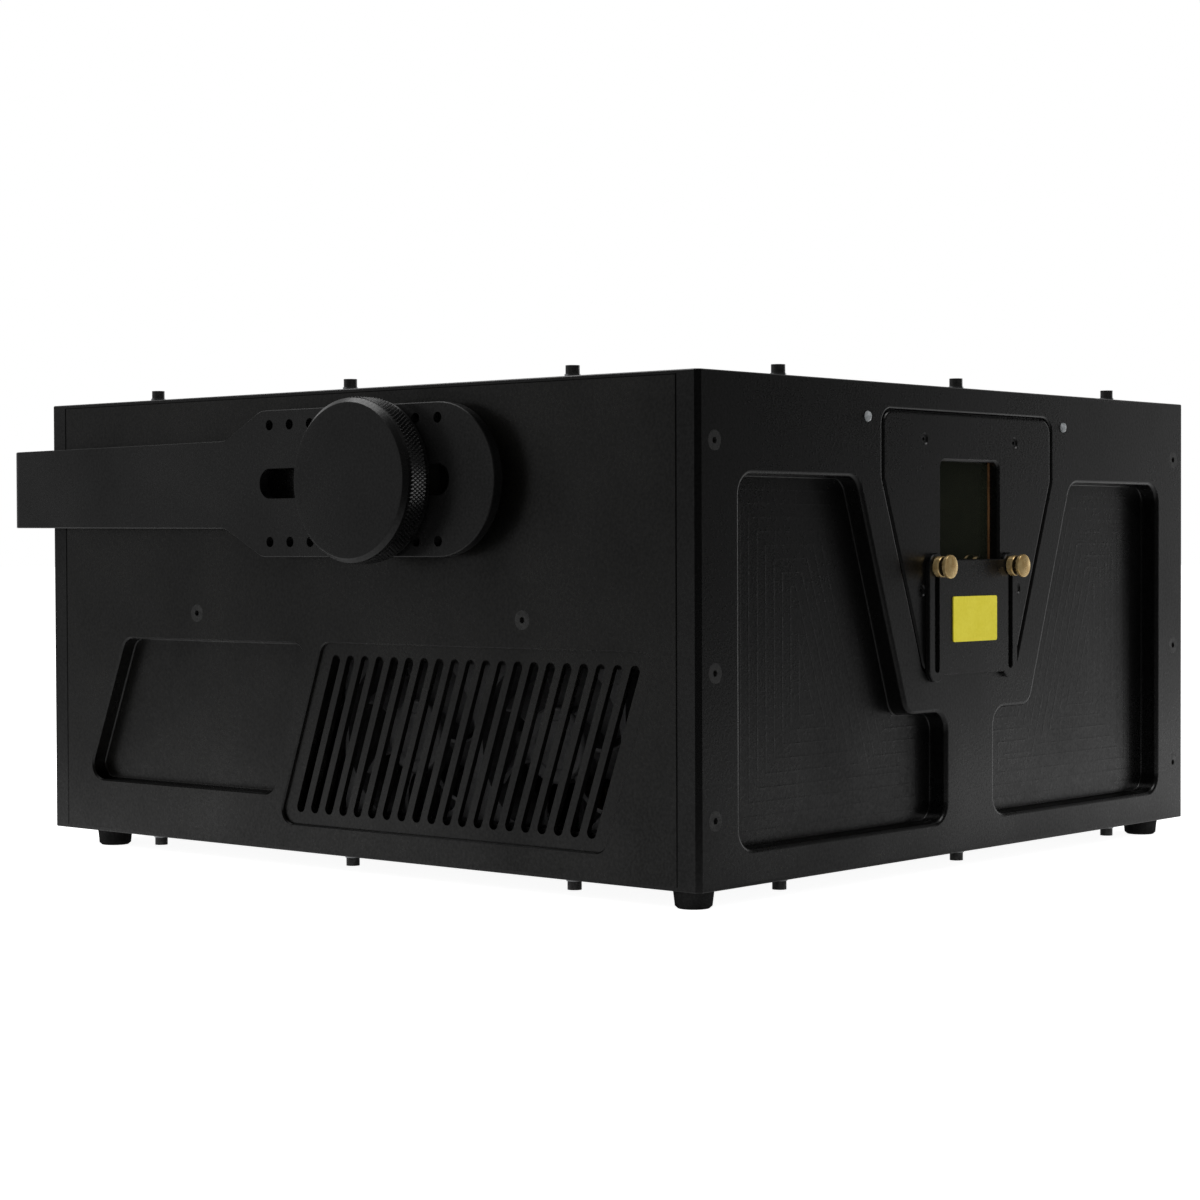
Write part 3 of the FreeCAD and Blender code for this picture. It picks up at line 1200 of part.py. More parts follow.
def fan_screws():
    depth = "screw_depth - thread_gap"
    screw = turned("fan_screw", [
        ("0", f"-({depth})"), ("foot_screw_radius", f"-({depth})"), ("foot_screw_radius", "fan_depth"),
        ("foot_screw_head", "fan_depth"), ("foot_screw_head", "fan_depth + foot_screw_head_height"),
        ("0", "fan_depth + foot_screw_head_height")])
    spots = []
    for sign, way in (("-", "right"), ("", "left")):
        for y in fan_ys:
            spots += [((f"{sign}inner_half", f"{y} {dy} fan_hole_pitch / 2",
                        f"grille_mid_z {dz} fan_hole_pitch / 2"), facing[way])
                      for dy in "-+" for dz in "-+"]
    return copies("fan_screws", screw, spots)


# Optics

def optical_base():
    half = "inner_half - fit_gap"
    slab = block("deck_slab", (f"-({half})", half),
                 ("front_back_y + deck_setback", "rear_seam_y - deck_setback"), ("deck_low_z", "deck_z"))
    grip = "sunk_length - side_thickness + thread_gap"
    holes = [rod("deck_hole", (f"{sign}(inner_half)", y, side_screw_z), f"{grip}", "sunk_hole", way)
             for sign, way in (("-", "right"), ("", "left")) for y in side_screw_ys]
    return cut("optical_base", slab, holes)


def heat_sink():
    body = new_body("heat_sink")
    half = "fan_face_x - sink_gap"
    first = "grille_mid_y - fin_pitch * (fin_count - 1) / 2"
    last = "grille_mid_y + fin_pitch * (fin_count - 1) / 2"
    slab = sketch(body, "sink_slab_shape", "XY_Plane", "deck_low_z - sink_slab")
    rectangle(slab, (f"-({half})", half), (f"{first} - fin_thickness", f"{last} + fin_thickness"))
    pad(body, slab, "sink_slab")
    fin = sketch(body, "sink_fin", "XY_Plane", "deck_low_z - sink_slab")
    rectangle(fin, (f"-({half})", half), (f"{first} - fin_thickness / 2", f"{first} + fin_thickness / 2"))
    blade = pad(body, fin, "fin_tall", True)
    row = body.newObject("PartDesign::LinearPattern", "sink_fins")
    row.Originals = [blade]
    row.Direction = (fin, ["V_Axis"])
    bind(row, "Length", "fin_pitch * (fin_count - 1)")
    bind(row, "Occurrences", "fin_count")
    body.Tip = row
    doc.recompute()
    return body


laser_ys = [f"rear_seam_y - laser_rear - {index} * laser_pitch" for index in range(3)]


def lasers():
    made = []
    for colour, y in zip(("red", "green", "blue"), laser_ys):
        case = block(f"{colour}_case", (f"laser_nose_x - {colour}_length", "laser_nose_x"),
                     (f"{y} - laser_width / 2", f"{y} + laser_width / 2"),
                     ("deck_z", "deck_z + laser_tall"))
        nose = rod(f"{colour}_nose", ("laser_nose_x - 1", y, "beam_z"), "nose_length + 1", "nose_radius",
                   "right")
        made.append(join(f"laser_{colour}", [case, nose]))
    return made


def beam_mirrors():
    """Three combining mirrors in front of the lasers and one that turns the beam to the scanner."""
    low = "beam_height - mirror_tall / 2"
    post = rod("mirror_post", ("0", "0", "0"), f"{low} - cradle_tall / 2", "post_radius")
    cradle = block("mirror_cradle", ("-mirror_width / 2", "mirror_width / 2"),
                   ("-cradle_depth / 2", "cradle_depth / 2"), (f"{low} - cradle_tall", low))
    mount = join("mirror_mount", [post, cradle])
    plate = block("mirror_plate", ("-mirror_width / 2", "mirror_width / 2"),
                  ("-mirror_thickness / 2", "mirror_thickness / 2"), (low, "beam_height + mirror_tall / 2"))
    lean = FreeCAD.Rotation(V(0, 0, 1), 45)
    turn = FreeCAD.Rotation(V(0, 0, 1), -45)
    spots = [(("beam_x", y, "deck_z"), lean) for y in laser_ys]
    spots.append((("beam_x", "scan_y", "deck_z"), turn))
    return [copies("mirror_mounts", mount, spots), copies("beam_mirrors", plate, spots)]


def scanner():
    """Two small motors at right angles: the first turns the beam up, the second turns it forward."""
    near = "motor_gap + 4"
    wide = "motor_radius + block_wall"
    far = f"{near} + block_length"
    lower = block("block_lower", (f"-({wide})", wide), (f"scan_y + {near}", f"scan_y + {far}"),
                  ("deck_z", f"beam_z + {wide}"))
    upper = block("block_upper", (near, far), (f"scan_y - ({wide})", f"scan_y + {wide}"),
                  ("deck_z", f"scan_top_z + {wide}"))
    base = block("block_foot", (f"-({wide})", far), (f"scan_y - ({wide})", f"scan_y + {far}"),
                 ("deck_z", "deck_z + block_base"))
    bore, reach = "motor_radius + thread_gap", "2 * motor_length"
    bores = [rod("bore_lower", ("0", "scan_y", "beam_z"), reach, bore, "rear"),
             rod("bore_upper", ("0", "scan_y", "scan_top_z"), reach, bore, "right"),
             rod("bore_beam", ("0", "scan_y", "beam_z"), reach, "beam_bore", "right")]
    housing = cut("scanner_block", join("block_blank", [lower, upper, base]), bores)
    motor = turned("motor", [
        ("scan_shaft_radius + thread_gap", "motor_gap"), ("motor_radius", "motor_gap"),
        ("motor_radius", "motor_gap + motor_length"), ("0", "motor_gap + motor_length"),
        ("0", "motor_gap + scan_shaft_grip + fit_gap"),
        ("scan_shaft_radius + thread_gap", "motor_gap + scan_shaft_grip + fit_gap")])
    motors = copies("scanner_motors", motor, [(("0", "scan_y", "beam_z"), facing["rear"]),
                                              (("0", "scan_y", "scan_top_z"), facing["right"])])
    shaft = rod("scan_shaft", ("0", "0", "scan_mirror_length / 2 - 1"),
                "motor_gap + scan_shaft_grip - scan_mirror_length / 2 + 1", "scan_shaft_radius")
    glass = block("scan_glass", ("-scan_mirror_width / 2", "scan_mirror_width / 2"),
                  ("-scan_mirror_thickness / 2", "scan_mirror_thickness / 2"),
                  ("-scan_mirror_length / 2", "scan_mirror_length / 2"))
    swing = join("scan_mirror", [shaft, glass])
    lean = FreeCAD.Rotation(V(0, 0, 1), 45)
    first = copies("scan_mirror_x", swing,
                   [(("0", "scan_y", "beam_z"), facing["rear"].multiply(lean))])
    second = copies("scan_mirror_y", swing,
                    [(("0", "scan_y", "scan_top_z"), facing["right"].multiply(lean))])
    return [housing, motors, first, second]


def shutter():
    """A flag on a small rotary motor; closed, it stands in the joined beam."""
    x, y = "beam_x + shutter_side", "scan_y + shutter_back"
    z = "beam_z - shutter_side * tan(flag_lean)"
    half = "shutter_size / 2"
    case = block("shutter_case", (f"{x} - {half}", f"{x} + {half}"), (y, f"{y} + shutter_size"),
                 ("deck_z", f"{z} + {half}"))
    bore = rod("shutter_bore", (x, y, z), "shutter_grip + fit_gap", "shutter_shaft_radius + thread_gap",
               "rear")
    motor = cut("shutter_motor", case, [bore])
    shaft = rod("flag_shaft", ("0", "-slide_gap - flag_thickness / 2", "0"),
                "shutter_grip + slide_gap + flag_thickness / 2", "shutter_shaft_radius", "rear")
    blade = block("flag_blade", ("-flag_reach", "flag_width / 2"),
                  ("-slide_gap - flag_thickness", "-slide_gap"), ("-flag_width / 2", "flag_width / 2"))
    lean = FreeCAD.Rotation(V(0, 1, 0), number("flag_lean"))
    flag = copies("shutter_flag", join("flag", [shaft, blade]), [((x, y, z), lean)])
    return [motor, flag]


# Electronics

def electronics():
    floor = "wall_low_z"
    left = "bay_side - inner_half"
    back = "rear_seam_y - bay_rear"
    supply = block("power_supply", (left, f"{left} + supply_wide"), (f"{back} - supply_long", back),
                   (floor, f"{floor} + supply_tall"))
    right = "inner_half - bay_side"
    low = f"{floor} + standoff_height"
    high = f"{low} + board_thickness"
    driver_x = (f"{right} - driver_wide", right)
    driver_y = (f"{back} - driver_long", back)
    driver_board = block("driver_board", driver_x, driver_y, (low, high))
    bracket = block("driver_bracket", (f"{right} - driver_wide / 8", right), driver_y,
                    (f"{high} - board_thickness / 2", f"{high} + driver_fin_tall"))
    driver = join("scanner_driver", [driver_board, bracket])
    control_x = ("-control_wide / 2", "control_wide / 2")
    control_y = ("front_back_y + control_front", "front_back_y + control_front + control_long")
    control_board = block("control_sheet", control_x, control_y, (low, high))
    middle = f"({control_y[0]} + {control_y[1]}) / 2"
    chips = [block("control_chip", (f"{x} - chip_size / 2", f"{x} + chip_size / 2"),
                   (f"{middle} - chip_size / 2", f"{middle} + chip_size / 2"),
                   (f"{high} - board_thickness / 2", f"{high} + chip_tall"))
             for x in ("-control_wide / 4", "0", "control_wide / 4")]
    control = join("control_board", [control_board] + chips)
    spacer = rod("standoff", ("0", "0", "0"), "standoff_height", "standoff_radius")
    spots = []
    for xs, ys in ((driver_x, driver_y), (control_x, control_y)):
        for x in (f"{xs[0]} + standoff_inset", f"{xs[1]} - standoff_inset"):
            for y in (f"{ys[0]} + standoff_inset", f"{ys[1]} - standoff_inset"):
                spots.append(((x, y, floor), facing["up"]))
    return [supply, driver, control, copies("standoffs", spacer, spots)]


# Rear fittings

def mains_inlet():
    def around(more, y):
        return [(f"inlet_x - inlet_wide / 2 - ({more})", f"inlet_x + inlet_wide / 2 + {more}"), y,
                (f"fitting_z - inlet_tall / 2 - ({more})", f"fitting_z + inlet_tall / 2 + {more}")]
    inside = "rear_seam_y - inlet_deep"
    flange = block("inlet_rim", *around("inlet_flange", ("rear_y", "fitting_y")))
    shell = block("inlet_shell", *around("0", (inside, "fitting_y")))
    hollow = block("inlet_hollow", *around("-inlet_wall", (f"{inside} + inlet_wall * 3", "fitting_y")))
    case = cut("inlet_case", join("inlet_blank", [flange, shell]), [hollow])
    root = f"{inside} + inlet_wall"
    blades = [block("inlet_blade", (f"inlet_x + {step} * pin_pitch - pin_wide / 2",
                                    f"inlet_x + {step} * pin_pitch + pin_wide / 2"),
                    (root, f"{root} + inlet_wall * 2 + pin_long"),
                    (f"fitting_z - pin_tall / 2 + {rise}", f"fitting_z + pin_tall / 2 + {rise}"))
              for step, rise in ((-1, 0), (0, "pin_tall / 2"), (1, 0))]
    return join("mains_inlet", [case] + blades)


def power_switch():
    half_x, half_z = "switch_wide / 2", "switch_tall / 2"
    rim = block("switch_rim",
                (f"switch_x - {half_x} - switch_flange", f"switch_x + {half_x} + switch_flange"),
                ("rear_y", "fitting_y"),
                (f"fitting_z - {half_z} - switch_flange", f"fitting_z + {half_z} + switch_flange"))
    inside = "rear_seam_y - switch_deep"
    shell = block("switch_shell", (f"switch_x - {half_x}", f"switch_x + {half_x}"), (inside, "fitting_y"),
                  (f"fitting_z - {half_z}", f"fitting_z + {half_z}"))
    hollow = block("switch_hollow",
                   (f"switch_x - {half_x} + switch_wall", f"switch_x + {half_x} - switch_wall"),
                   (f"{inside} + switch_wall", "fitting_y"),
                   (f"fitting_z - {half_z} + switch_wall", f"fitting_z + {half_z} - switch_wall"))
    case = cut("switch_case", join("switch_blank", [rim, shell]), [hollow])
    pivot = rod("switch_pin", (f"switch_x - {half_x} + switch_wall / 2", "rear_y", "fitting_z"),
                "switch_wide - switch_wall", "rocker_pin_radius", "right")
    housing = join("switch_housing", [case, pivot])

    body = new_body("switch_rocker")
    reach = f"({half_z} - switch_wall - rocker_gap)"
    shape = sketch(body, "rocker_shape", "YZ_Plane")
    crest = "flange_thickness + rocker_lift"
    valley = f"{crest} - {reach} * tan(rocker_lean)"
    polygon(shape, [
        ("-rocker_root", f"-{reach} / 2"), ("0", f"-{reach} * 0.94"), (crest, f"-{reach} * 0.94"),
        (valley, "0"), (crest, f"{reach} * 0.94"), ("0", f"{reach} * 0.94"),
        ("-rocker_root", f"{reach} / 2")])
    pad(body, shape, "switch_wide - 2 * (switch_wall + rocker_gap)", middle=True)
    hole = sketch(body, "rocker_hole", "YZ_Plane")
    circle(hole, "0", "0", "rocker_pin_radius + thread_gap")
    pocket(body, hole)
    put(body, ("switch_x", "rear_y", "fitting_z"), FreeCAD.Rotation(V(1, 0, 0), number("rocker_lean")))
    return [housing, body]


def key_switch():
    bore, floor, back = "plug_radius + thread_gap", "-plug_deep - fit_gap", "-lock_deep - rear_thickness"
    lock = turned("lock_turning", [
        (bore, "flange_thickness"), (bore, floor), ("0", floor), ("0", back), ("lock_radius", back),
        ("lock_radius", "0"), ("lock_flange_radius", "0"), ("lock_flange_radius", "flange_thickness / 2"),
        ("lock_flange_radius - flange_thickness / 2", "flange_thickness")])
    lock_node = copies("key_lock", lock, [(("lock_x", "rear_y", "fitting_z"), facing["rear"])])
    plug = rod("key_plug", ("lock_x", "rear_y - plug_deep", "fitting_z"), "plug_deep + flange_thickness",
               "plug_radius", "rear")
    flat = ("lock_x - key_thickness / 2", "lock_x + key_thickness / 2")
    tall = ("fitting_z - key_blade / 2", "fitting_z + key_blade / 2")
    slot = block("key_way", flat, ("rear_y - plug_deep / 2", "fitting_y"), tall)
    plug_node = cut("lock_plug", plug, [slot])
    blade = block("key_blade_bar", flat, ("rear_y - plug_deep / 2", "fitting_y + 1"), tall)
    bow = block("key_bow", flat, ("fitting_y + fit_gap", "fitting_y + key_reach"),
                ("fitting_z - key_wide / 2", "fitting_z + key_wide / 2"))
    ring = rod("key_ring_hole", ("lock_x - key_thickness / 2", "fitting_y + key_reach * 0.62", "fitting_z"),
               "key_thickness", "key_reach * 0.2", "right")
    return [lock_node, plug_node, cut("key", join("key_blank", [blade, bow]), [ring])]


def data_sockets():
    body = turned("socket_barrel", [
        ("socket_well", "flange_thickness"), ("socket_well", "-socket_deep"), ("0", "-socket_deep"),
        ("0", "-socket_deep - rear_thickness"), ("socket_radius", "-socket_deep - rear_thickness"),
        ("socket_radius", "flange_thickness")])
    half_x, half_z = "socket_flange_wide / 2", "socket_flange_tall / 2"
    face = block("socket_face", (f"-{half_x}", half_x), (f"-{half_z}", half_z), ("0", "flange_thickness"))
    rim = cut("socket_rim", face, [rod("socket_mouth", ("0", "0", "0"), "flange_thickness", "socket_well")])
    contacts = []
    for x, z in (("-socket_well * 0.4", "-socket_well * 0.2"), ("socket_well * 0.4", "-socket_well * 0.2"),
                 ("0", "socket_well * 0.45")):
        contacts.append(rod("socket_contact", (x, z, "-socket_deep - 1"), "socket_deep * 0.75",
                            "screw_radius"))
    socket = join("data_socket", [body, rim] + contacts)
    spots = [((f"socket_x + {index} * socket_pitch", "rear_y", "fitting_z"), facing["rear"])
             for index in range(int(number("socket_count")))]
    return copies("data_sockets", socket, spots)


def safety_lug():
    tall = ("fitting_z - lug_tall / 2", "fitting_z + lug_tall / 2")
    side = "lug_x - lug_thickness / 2"
    foot = block("lug_foot", ("lug_x - lug_wide / 2", "lug_x + lug_wide / 2"),
                 ("rear_y", "rear_y + lug_thickness"), tall)
    ear = block("lug_ear", (side, "lug_x + lug_thickness / 2"), ("rear_y", "rear_y + lug_reach"), tall)
    hole = rod("lug_hole", (side, "rear_y + (lug_reach + lug_thickness) / 2", "fitting_z"),
               "lug_thickness", "lug_hole_radius", "right")
    return cut("safety_lug", join("lug_blank", [foot, ear]), [hole])


nodes = [front_plate()]
left_side = side_panel_left()
nodes += [left_side, mirror("side_panel_right", left_side), rear_panel()]
nodes.append(cover("top_cover", "wall_top_z", []))
nodes.append(cover("bottom_cover", "foot_height", foot_spots))
nodes += case_screws() + feet()
nodes.append(aperture_plate())
plate_screw = sunk_screw("plate_screw", "plate_screw_head", "plate_screw_radius", "plate_screw_length",
                         "plate_screw_socket")
sunk_y = "front_y + plate_screw_sink"
nodes.append(copies("aperture_screws", plate_screw, [((x, sunk_y, z), facing["front"])
                                                     for x, z in plate_screw_spots]))
nodes += window() + [indicator_lenses(), aperture_mask(), mask_blank()] + thumbscrews()
nodes += [yoke()] + clamps()
nodes += [fan_frames()] + fan_rotors() + [fan_screws()]
nodes += [optical_base(), heat_sink()] + lasers() + beam_mirrors() + scanner() + shutter()
nodes += electronics()
nodes += [mains_inlet()] + power_switch() + key_switch() + [data_sockets(), safety_lug()]

doc.recompute()
for thing in doc.Objects:
    if "Invalid" in thing.State or "Error" in thing.State:
        raise RuntimeError(f"{thing.Name} failed: {thing.State}")
for node in nodes:
    shape = node.Shape
    if shape.isNull() or not shape.isValid() or not shape.Solids:
        raise RuntimeError(f"{node.Label} has no valid solid")

os.makedirs("parts", exist_ok=True)
for node in nodes:
    node.Shape.exportStep(f"parts/{node.Label}.step")
    print(f"{node.Label}: {len(node.Shape.Solids)} solids, {node.Shape.Volume / 1000:.2f} cm3")
print(f"{len(nodes)} nodes")
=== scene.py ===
import json
import math

import bmesh
import bpy
from mathutils import Matrix, Vector


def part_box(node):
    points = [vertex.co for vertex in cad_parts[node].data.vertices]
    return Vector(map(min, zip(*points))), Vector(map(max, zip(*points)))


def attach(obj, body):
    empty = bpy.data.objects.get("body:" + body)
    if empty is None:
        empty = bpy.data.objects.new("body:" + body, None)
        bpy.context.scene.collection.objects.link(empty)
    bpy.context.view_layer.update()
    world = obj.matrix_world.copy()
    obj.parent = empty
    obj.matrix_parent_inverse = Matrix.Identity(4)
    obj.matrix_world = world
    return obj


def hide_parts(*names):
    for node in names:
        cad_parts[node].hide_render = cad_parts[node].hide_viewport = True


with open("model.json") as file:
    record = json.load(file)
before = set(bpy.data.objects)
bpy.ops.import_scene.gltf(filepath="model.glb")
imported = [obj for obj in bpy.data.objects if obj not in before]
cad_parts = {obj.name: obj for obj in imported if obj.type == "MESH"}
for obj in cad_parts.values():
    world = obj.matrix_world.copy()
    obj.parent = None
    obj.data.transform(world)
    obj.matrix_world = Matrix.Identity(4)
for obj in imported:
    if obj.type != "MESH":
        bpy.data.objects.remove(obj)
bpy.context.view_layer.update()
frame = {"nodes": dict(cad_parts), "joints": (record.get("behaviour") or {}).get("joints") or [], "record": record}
nodes = frame["nodes"]
scene = bpy.context.scene
scene.view_settings.view_transform = "Standard"
mm = 0.001
fullTurn = 2 * math.pi


# Colours and nodes

def hexColor(text):
    # undoes the sRGB curve
    parts = [int(text[i:i + 2], 16) / 255 for i in (1, 3, 5)]
    linear = [p / 12.92 if p <= 0.04045 else ((p + 0.055) / 1.055) ** 2.4 for p in parts]
    return (*linear, 1.0)


def addNode(tree, kind, inputs=None, **settings):
    node = tree.nodes.new(kind)
    for key, value in settings.items():
        setattr(node, key, value)
    for key, value in (inputs or {}).items():
        if isinstance(value, bpy.types.NodeSocket):
            tree.links.new(value, node.inputs[key])
        else:
            node.inputs[key].default_value = value
    return node


# Finishes. Sizes are in millimetres: cloud is the patch size of the colour drift, grain the size of the
# surface's own texture, bump its height. stretch lengthens the grain along an axis, as brushing does.
# paintedShadeBand is a band of painted shade, as if it lay in shadow: its axis, middle, half width and tone.
# upward is the tone of painted shade on walls that face up; it dims their colour and gloss.

# The drift of every finish: the shares of cloud and grain in it, the part of it that the colours and the
# gloss span, how far the gloss swings with it, and from where to where a wall's slope counts as facing up.
drifting = {
    "cloudShare": 0.55, "grainShare": 0.45, "cloudDetail": 4.0, "grainDetail": 3.0,
    "colourFrom": 0.36, "colourTo": 0.64, "glossFrom": 0.34, "glossTo": 0.66,
    "dullest": 0.7, "glossiest": 1.3, "slopeFrom": 0.2, "slopeTo": 0.6,
}

# Blasting grit is some 0.2 mm, too fine to show in the picture, so its grain is drawn coarser.
blasted = dict(dark="#040404", light="#070707", cloud=60, grain=1.3, rough=(0.25, 0.34), bump=0.045,
               specular=0.55, slot="black_anodised")

# Cutter lines that a milling tool leaves on the floors of the front pockets, parallel to their walls. They
# are drawn higher than real ones, so that they show. Lengths are in metres, from the middle of the front
# and from the ground. slantAcross and slantUp point from the slanted wall into the pocket.
milling = {
    "outer": 0.162, "low": 0.0224, "high": 0.1683, "bar": 0.0189, "ledge": 0.0689, "slantX": 0.0484,
    "slantAcross": 0.9432, "slantUp": -0.3321, "floorY": -0.194, "step": 0.0055, "height": 0.00005,
    "sharpness": 9.0,
}

# painted shade along the joint between the sides and the top cover: a thin dark line
coverSeamShade = dict(axis="Z", middle=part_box("side_panel_left")[1].z - 0.2 * mm, reach=0.2 * mm, tone=0.25)
# painted shade in the groove behind the heads of the thumbscrews
spoolGrooveShade = dict(axis="Y", middle=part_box("thumbscrew_left")[0].y + 2.8 * mm, reach=1.0 * mm, tone=0.08)

finishes = {
    # black dyed anodising over a bead-blasted face: dead black until it catches a pale sheen at a slant
    "blastedAnodisedFront": dict(blasted, milled=milling),
    # the sides, a little lighter and warmer, with painted shade along the cover joint and on walls that face up
    "blastedAnodisedSide": dict(blasted, dark="#060605", light="#0a0907", paintedShadeBand=coverSeamShade, upward=0.12),
    "blastedAnodisedCover": dict(blasted, cloud=90),
    # finer blasting on the turned and cut pieces: smoother, a little greyer
    # the arm and the mask: painted shade darkens their walls that face up
    "satinAnodisedArm": dict(blasted, dark="#0a0a0a", light="#0f0f0f", grain=1.2, bump=0.03, upward=0.3),
    "satinAnodisedKnob": dict(blasted, dark="#070707", light="#0a0a0a", grain=1.2, bump=0.03),
    # oiled black oxide on socket screws: soft dark shine
    "blackOxideSteel": dict(dark="#151515", light="#252524", cloud=2, grain=0.5, rough=(0.26, 0.46),
                            bump=0.02, specular=0.62, slot="black_steel"),
    # the same oxide, painted darker as the shade of its countersinks
    "dullOxideSteel": dict(dark="#070707", light="#0e0e0e", cloud=3, grain=0.4, rough=(0.34, 0.5),
                           bump=0.01, specular=0.5, slot="black_steel"),
    # bright zinc plate: pale metal with a faint brushed drift
    "zincPlatedSteel": dict(dark="#a9abad", light="#c6c8ca", cloud=3, grain=0.3, rough=(0.24, 0.38),
                            bump=0.004, metallic=1.0, slot="bright_steel"),
    # thick optical glass with an amber laser coating: almost black, olive where light passes
    "coatedWindowGlass": dict(dark="#191b15", light="#1e2018", cloud=40, grain=6, rough=(0.02, 0.05),
                              bump=0.0, transmission=0.25, specular=0.2, slot="tinted_glass"),
    # turned brass: warm and pale, satin on its faces with bright edges, and painted shade in the groove behind the
    # heads
    "turnedBrass": dict(dark="#cea668", light="#ffe2a4", cloud=2, grain=0.3, rough=(0.08, 0.18),
                        bump=0.008, metallic=0.7, specular=1.0, slot="gilt_brass", paintedShadeBand=spoolGrooveShade),
    # gilt strip under the window: the same brass, painted darker as the shade of the glass
    "giltStrip": dict(dark="#5e4128", light="#946b45", cloud=9, grain=0.5, rough=(0.3, 0.5),
                      bump=0.004, metallic=0.5, specular=0.6, slot="gilt_brass"),
    # clear acrylic frosted on its back: bright little dome
    "clearAcrylic": dict(dark="#8d9193", light="#c3c7c9", cloud=1.6, grain=0.8, rough=(0.06, 0.14),
                         bump=0.0, transmission=0.4, specular=0.7, slot="clear_lens"),
    # stove enamel on sheet metal: flat even yellow
    "yellowEnamel": dict(dark="#dccf2a", light="#e6da35", cloud=12, grain=1.2, rough=(0.38, 0.5),
                         bump=0.006, specular=0.4, slot="yellow_plate"),
    # moulded rubber: dull and slightly mottled
    "mouldedRubber": dict(dark="#191919", light="#252525", cloud=6, grain=0.8, rough=(0.7, 0.86),
                          bump=0.02, specular=0.25, slot="black_rubber"),
    # glass-filled polyester of fan mouldings: black with a dull skin
    "fanPolyester": dict(dark="#2c2c2d", light="#3d3d3e", cloud=10, grain=0.8, rough=(0.32, 0.46),
                         bump=0.01, specular=0.7, slot="fan_plastic"),
    # milled aluminium: pale with fine cutter lines
    "milledAluminium": dict(dark="#a6a9ac", light="#c3c6c9", cloud=20, grain=0.8, stretch=(0.06, 1.0, 1.0),
                            rough=(0.3, 0.46), bump=0.006, metallic=1.0, slot="bare_aluminium"),
    # grey-black anodised housings of the light sources: dull, with soft highlights
    "greyAnodised": dict(dark="#2b2c2e", light="#383a3c", cloud=20, grain=0.8, rough=(0.36, 0.5),
                         bump=0.006, specular=0.5, slot="dark_aluminium"),
    # first-surface mirror: clean silver with a breath of dust
    "silveredMirror": dict(dark="#e2e6e9", light="#f0f3f5", cloud=8, grain=2, rough=(0.02, 0.07),
                           bump=0.0, metallic=1.0, slot="mirror_glass"),
    # green solder resist on glass-fibre board: glossy, with the weave showing through
    "solderResist": dict(dark="#0b3b1f", light="#135a30", cloud=7, grain=0.9, rough=(0.22, 0.36),
                         bump=0.008, specular=0.5, slot="circuit_board"),
    # moulded nylon of sockets and switches: even black with a spark-eroded skin
    "mouldedNylon": dict(dark="#121213", light="#1a1a1b", cloud=9, grain=0.6, rough=(0.4, 0.54),
                         bump=0.01, specular=0.42, slot="black_plastic"),
    # chrome plate on turned brass: bright and sharp
    "chromePlate": dict(dark="#c2c5c8", light="#d9dbdd", cloud=4, grain=0.4, rough=(0.08, 0.16),
                        bump=0.002, metallic=1.0, slot="chrome_lock"),
    # pressed friction fibre: sooty and matt
    "pressedFibre": dict(dark="#090807", light="#110f0d", cloud=2, grain=0.5, rough=(0.75, 0.9),
                         bump=0.03, specular=0.1, slot="friction_fibre"),
}


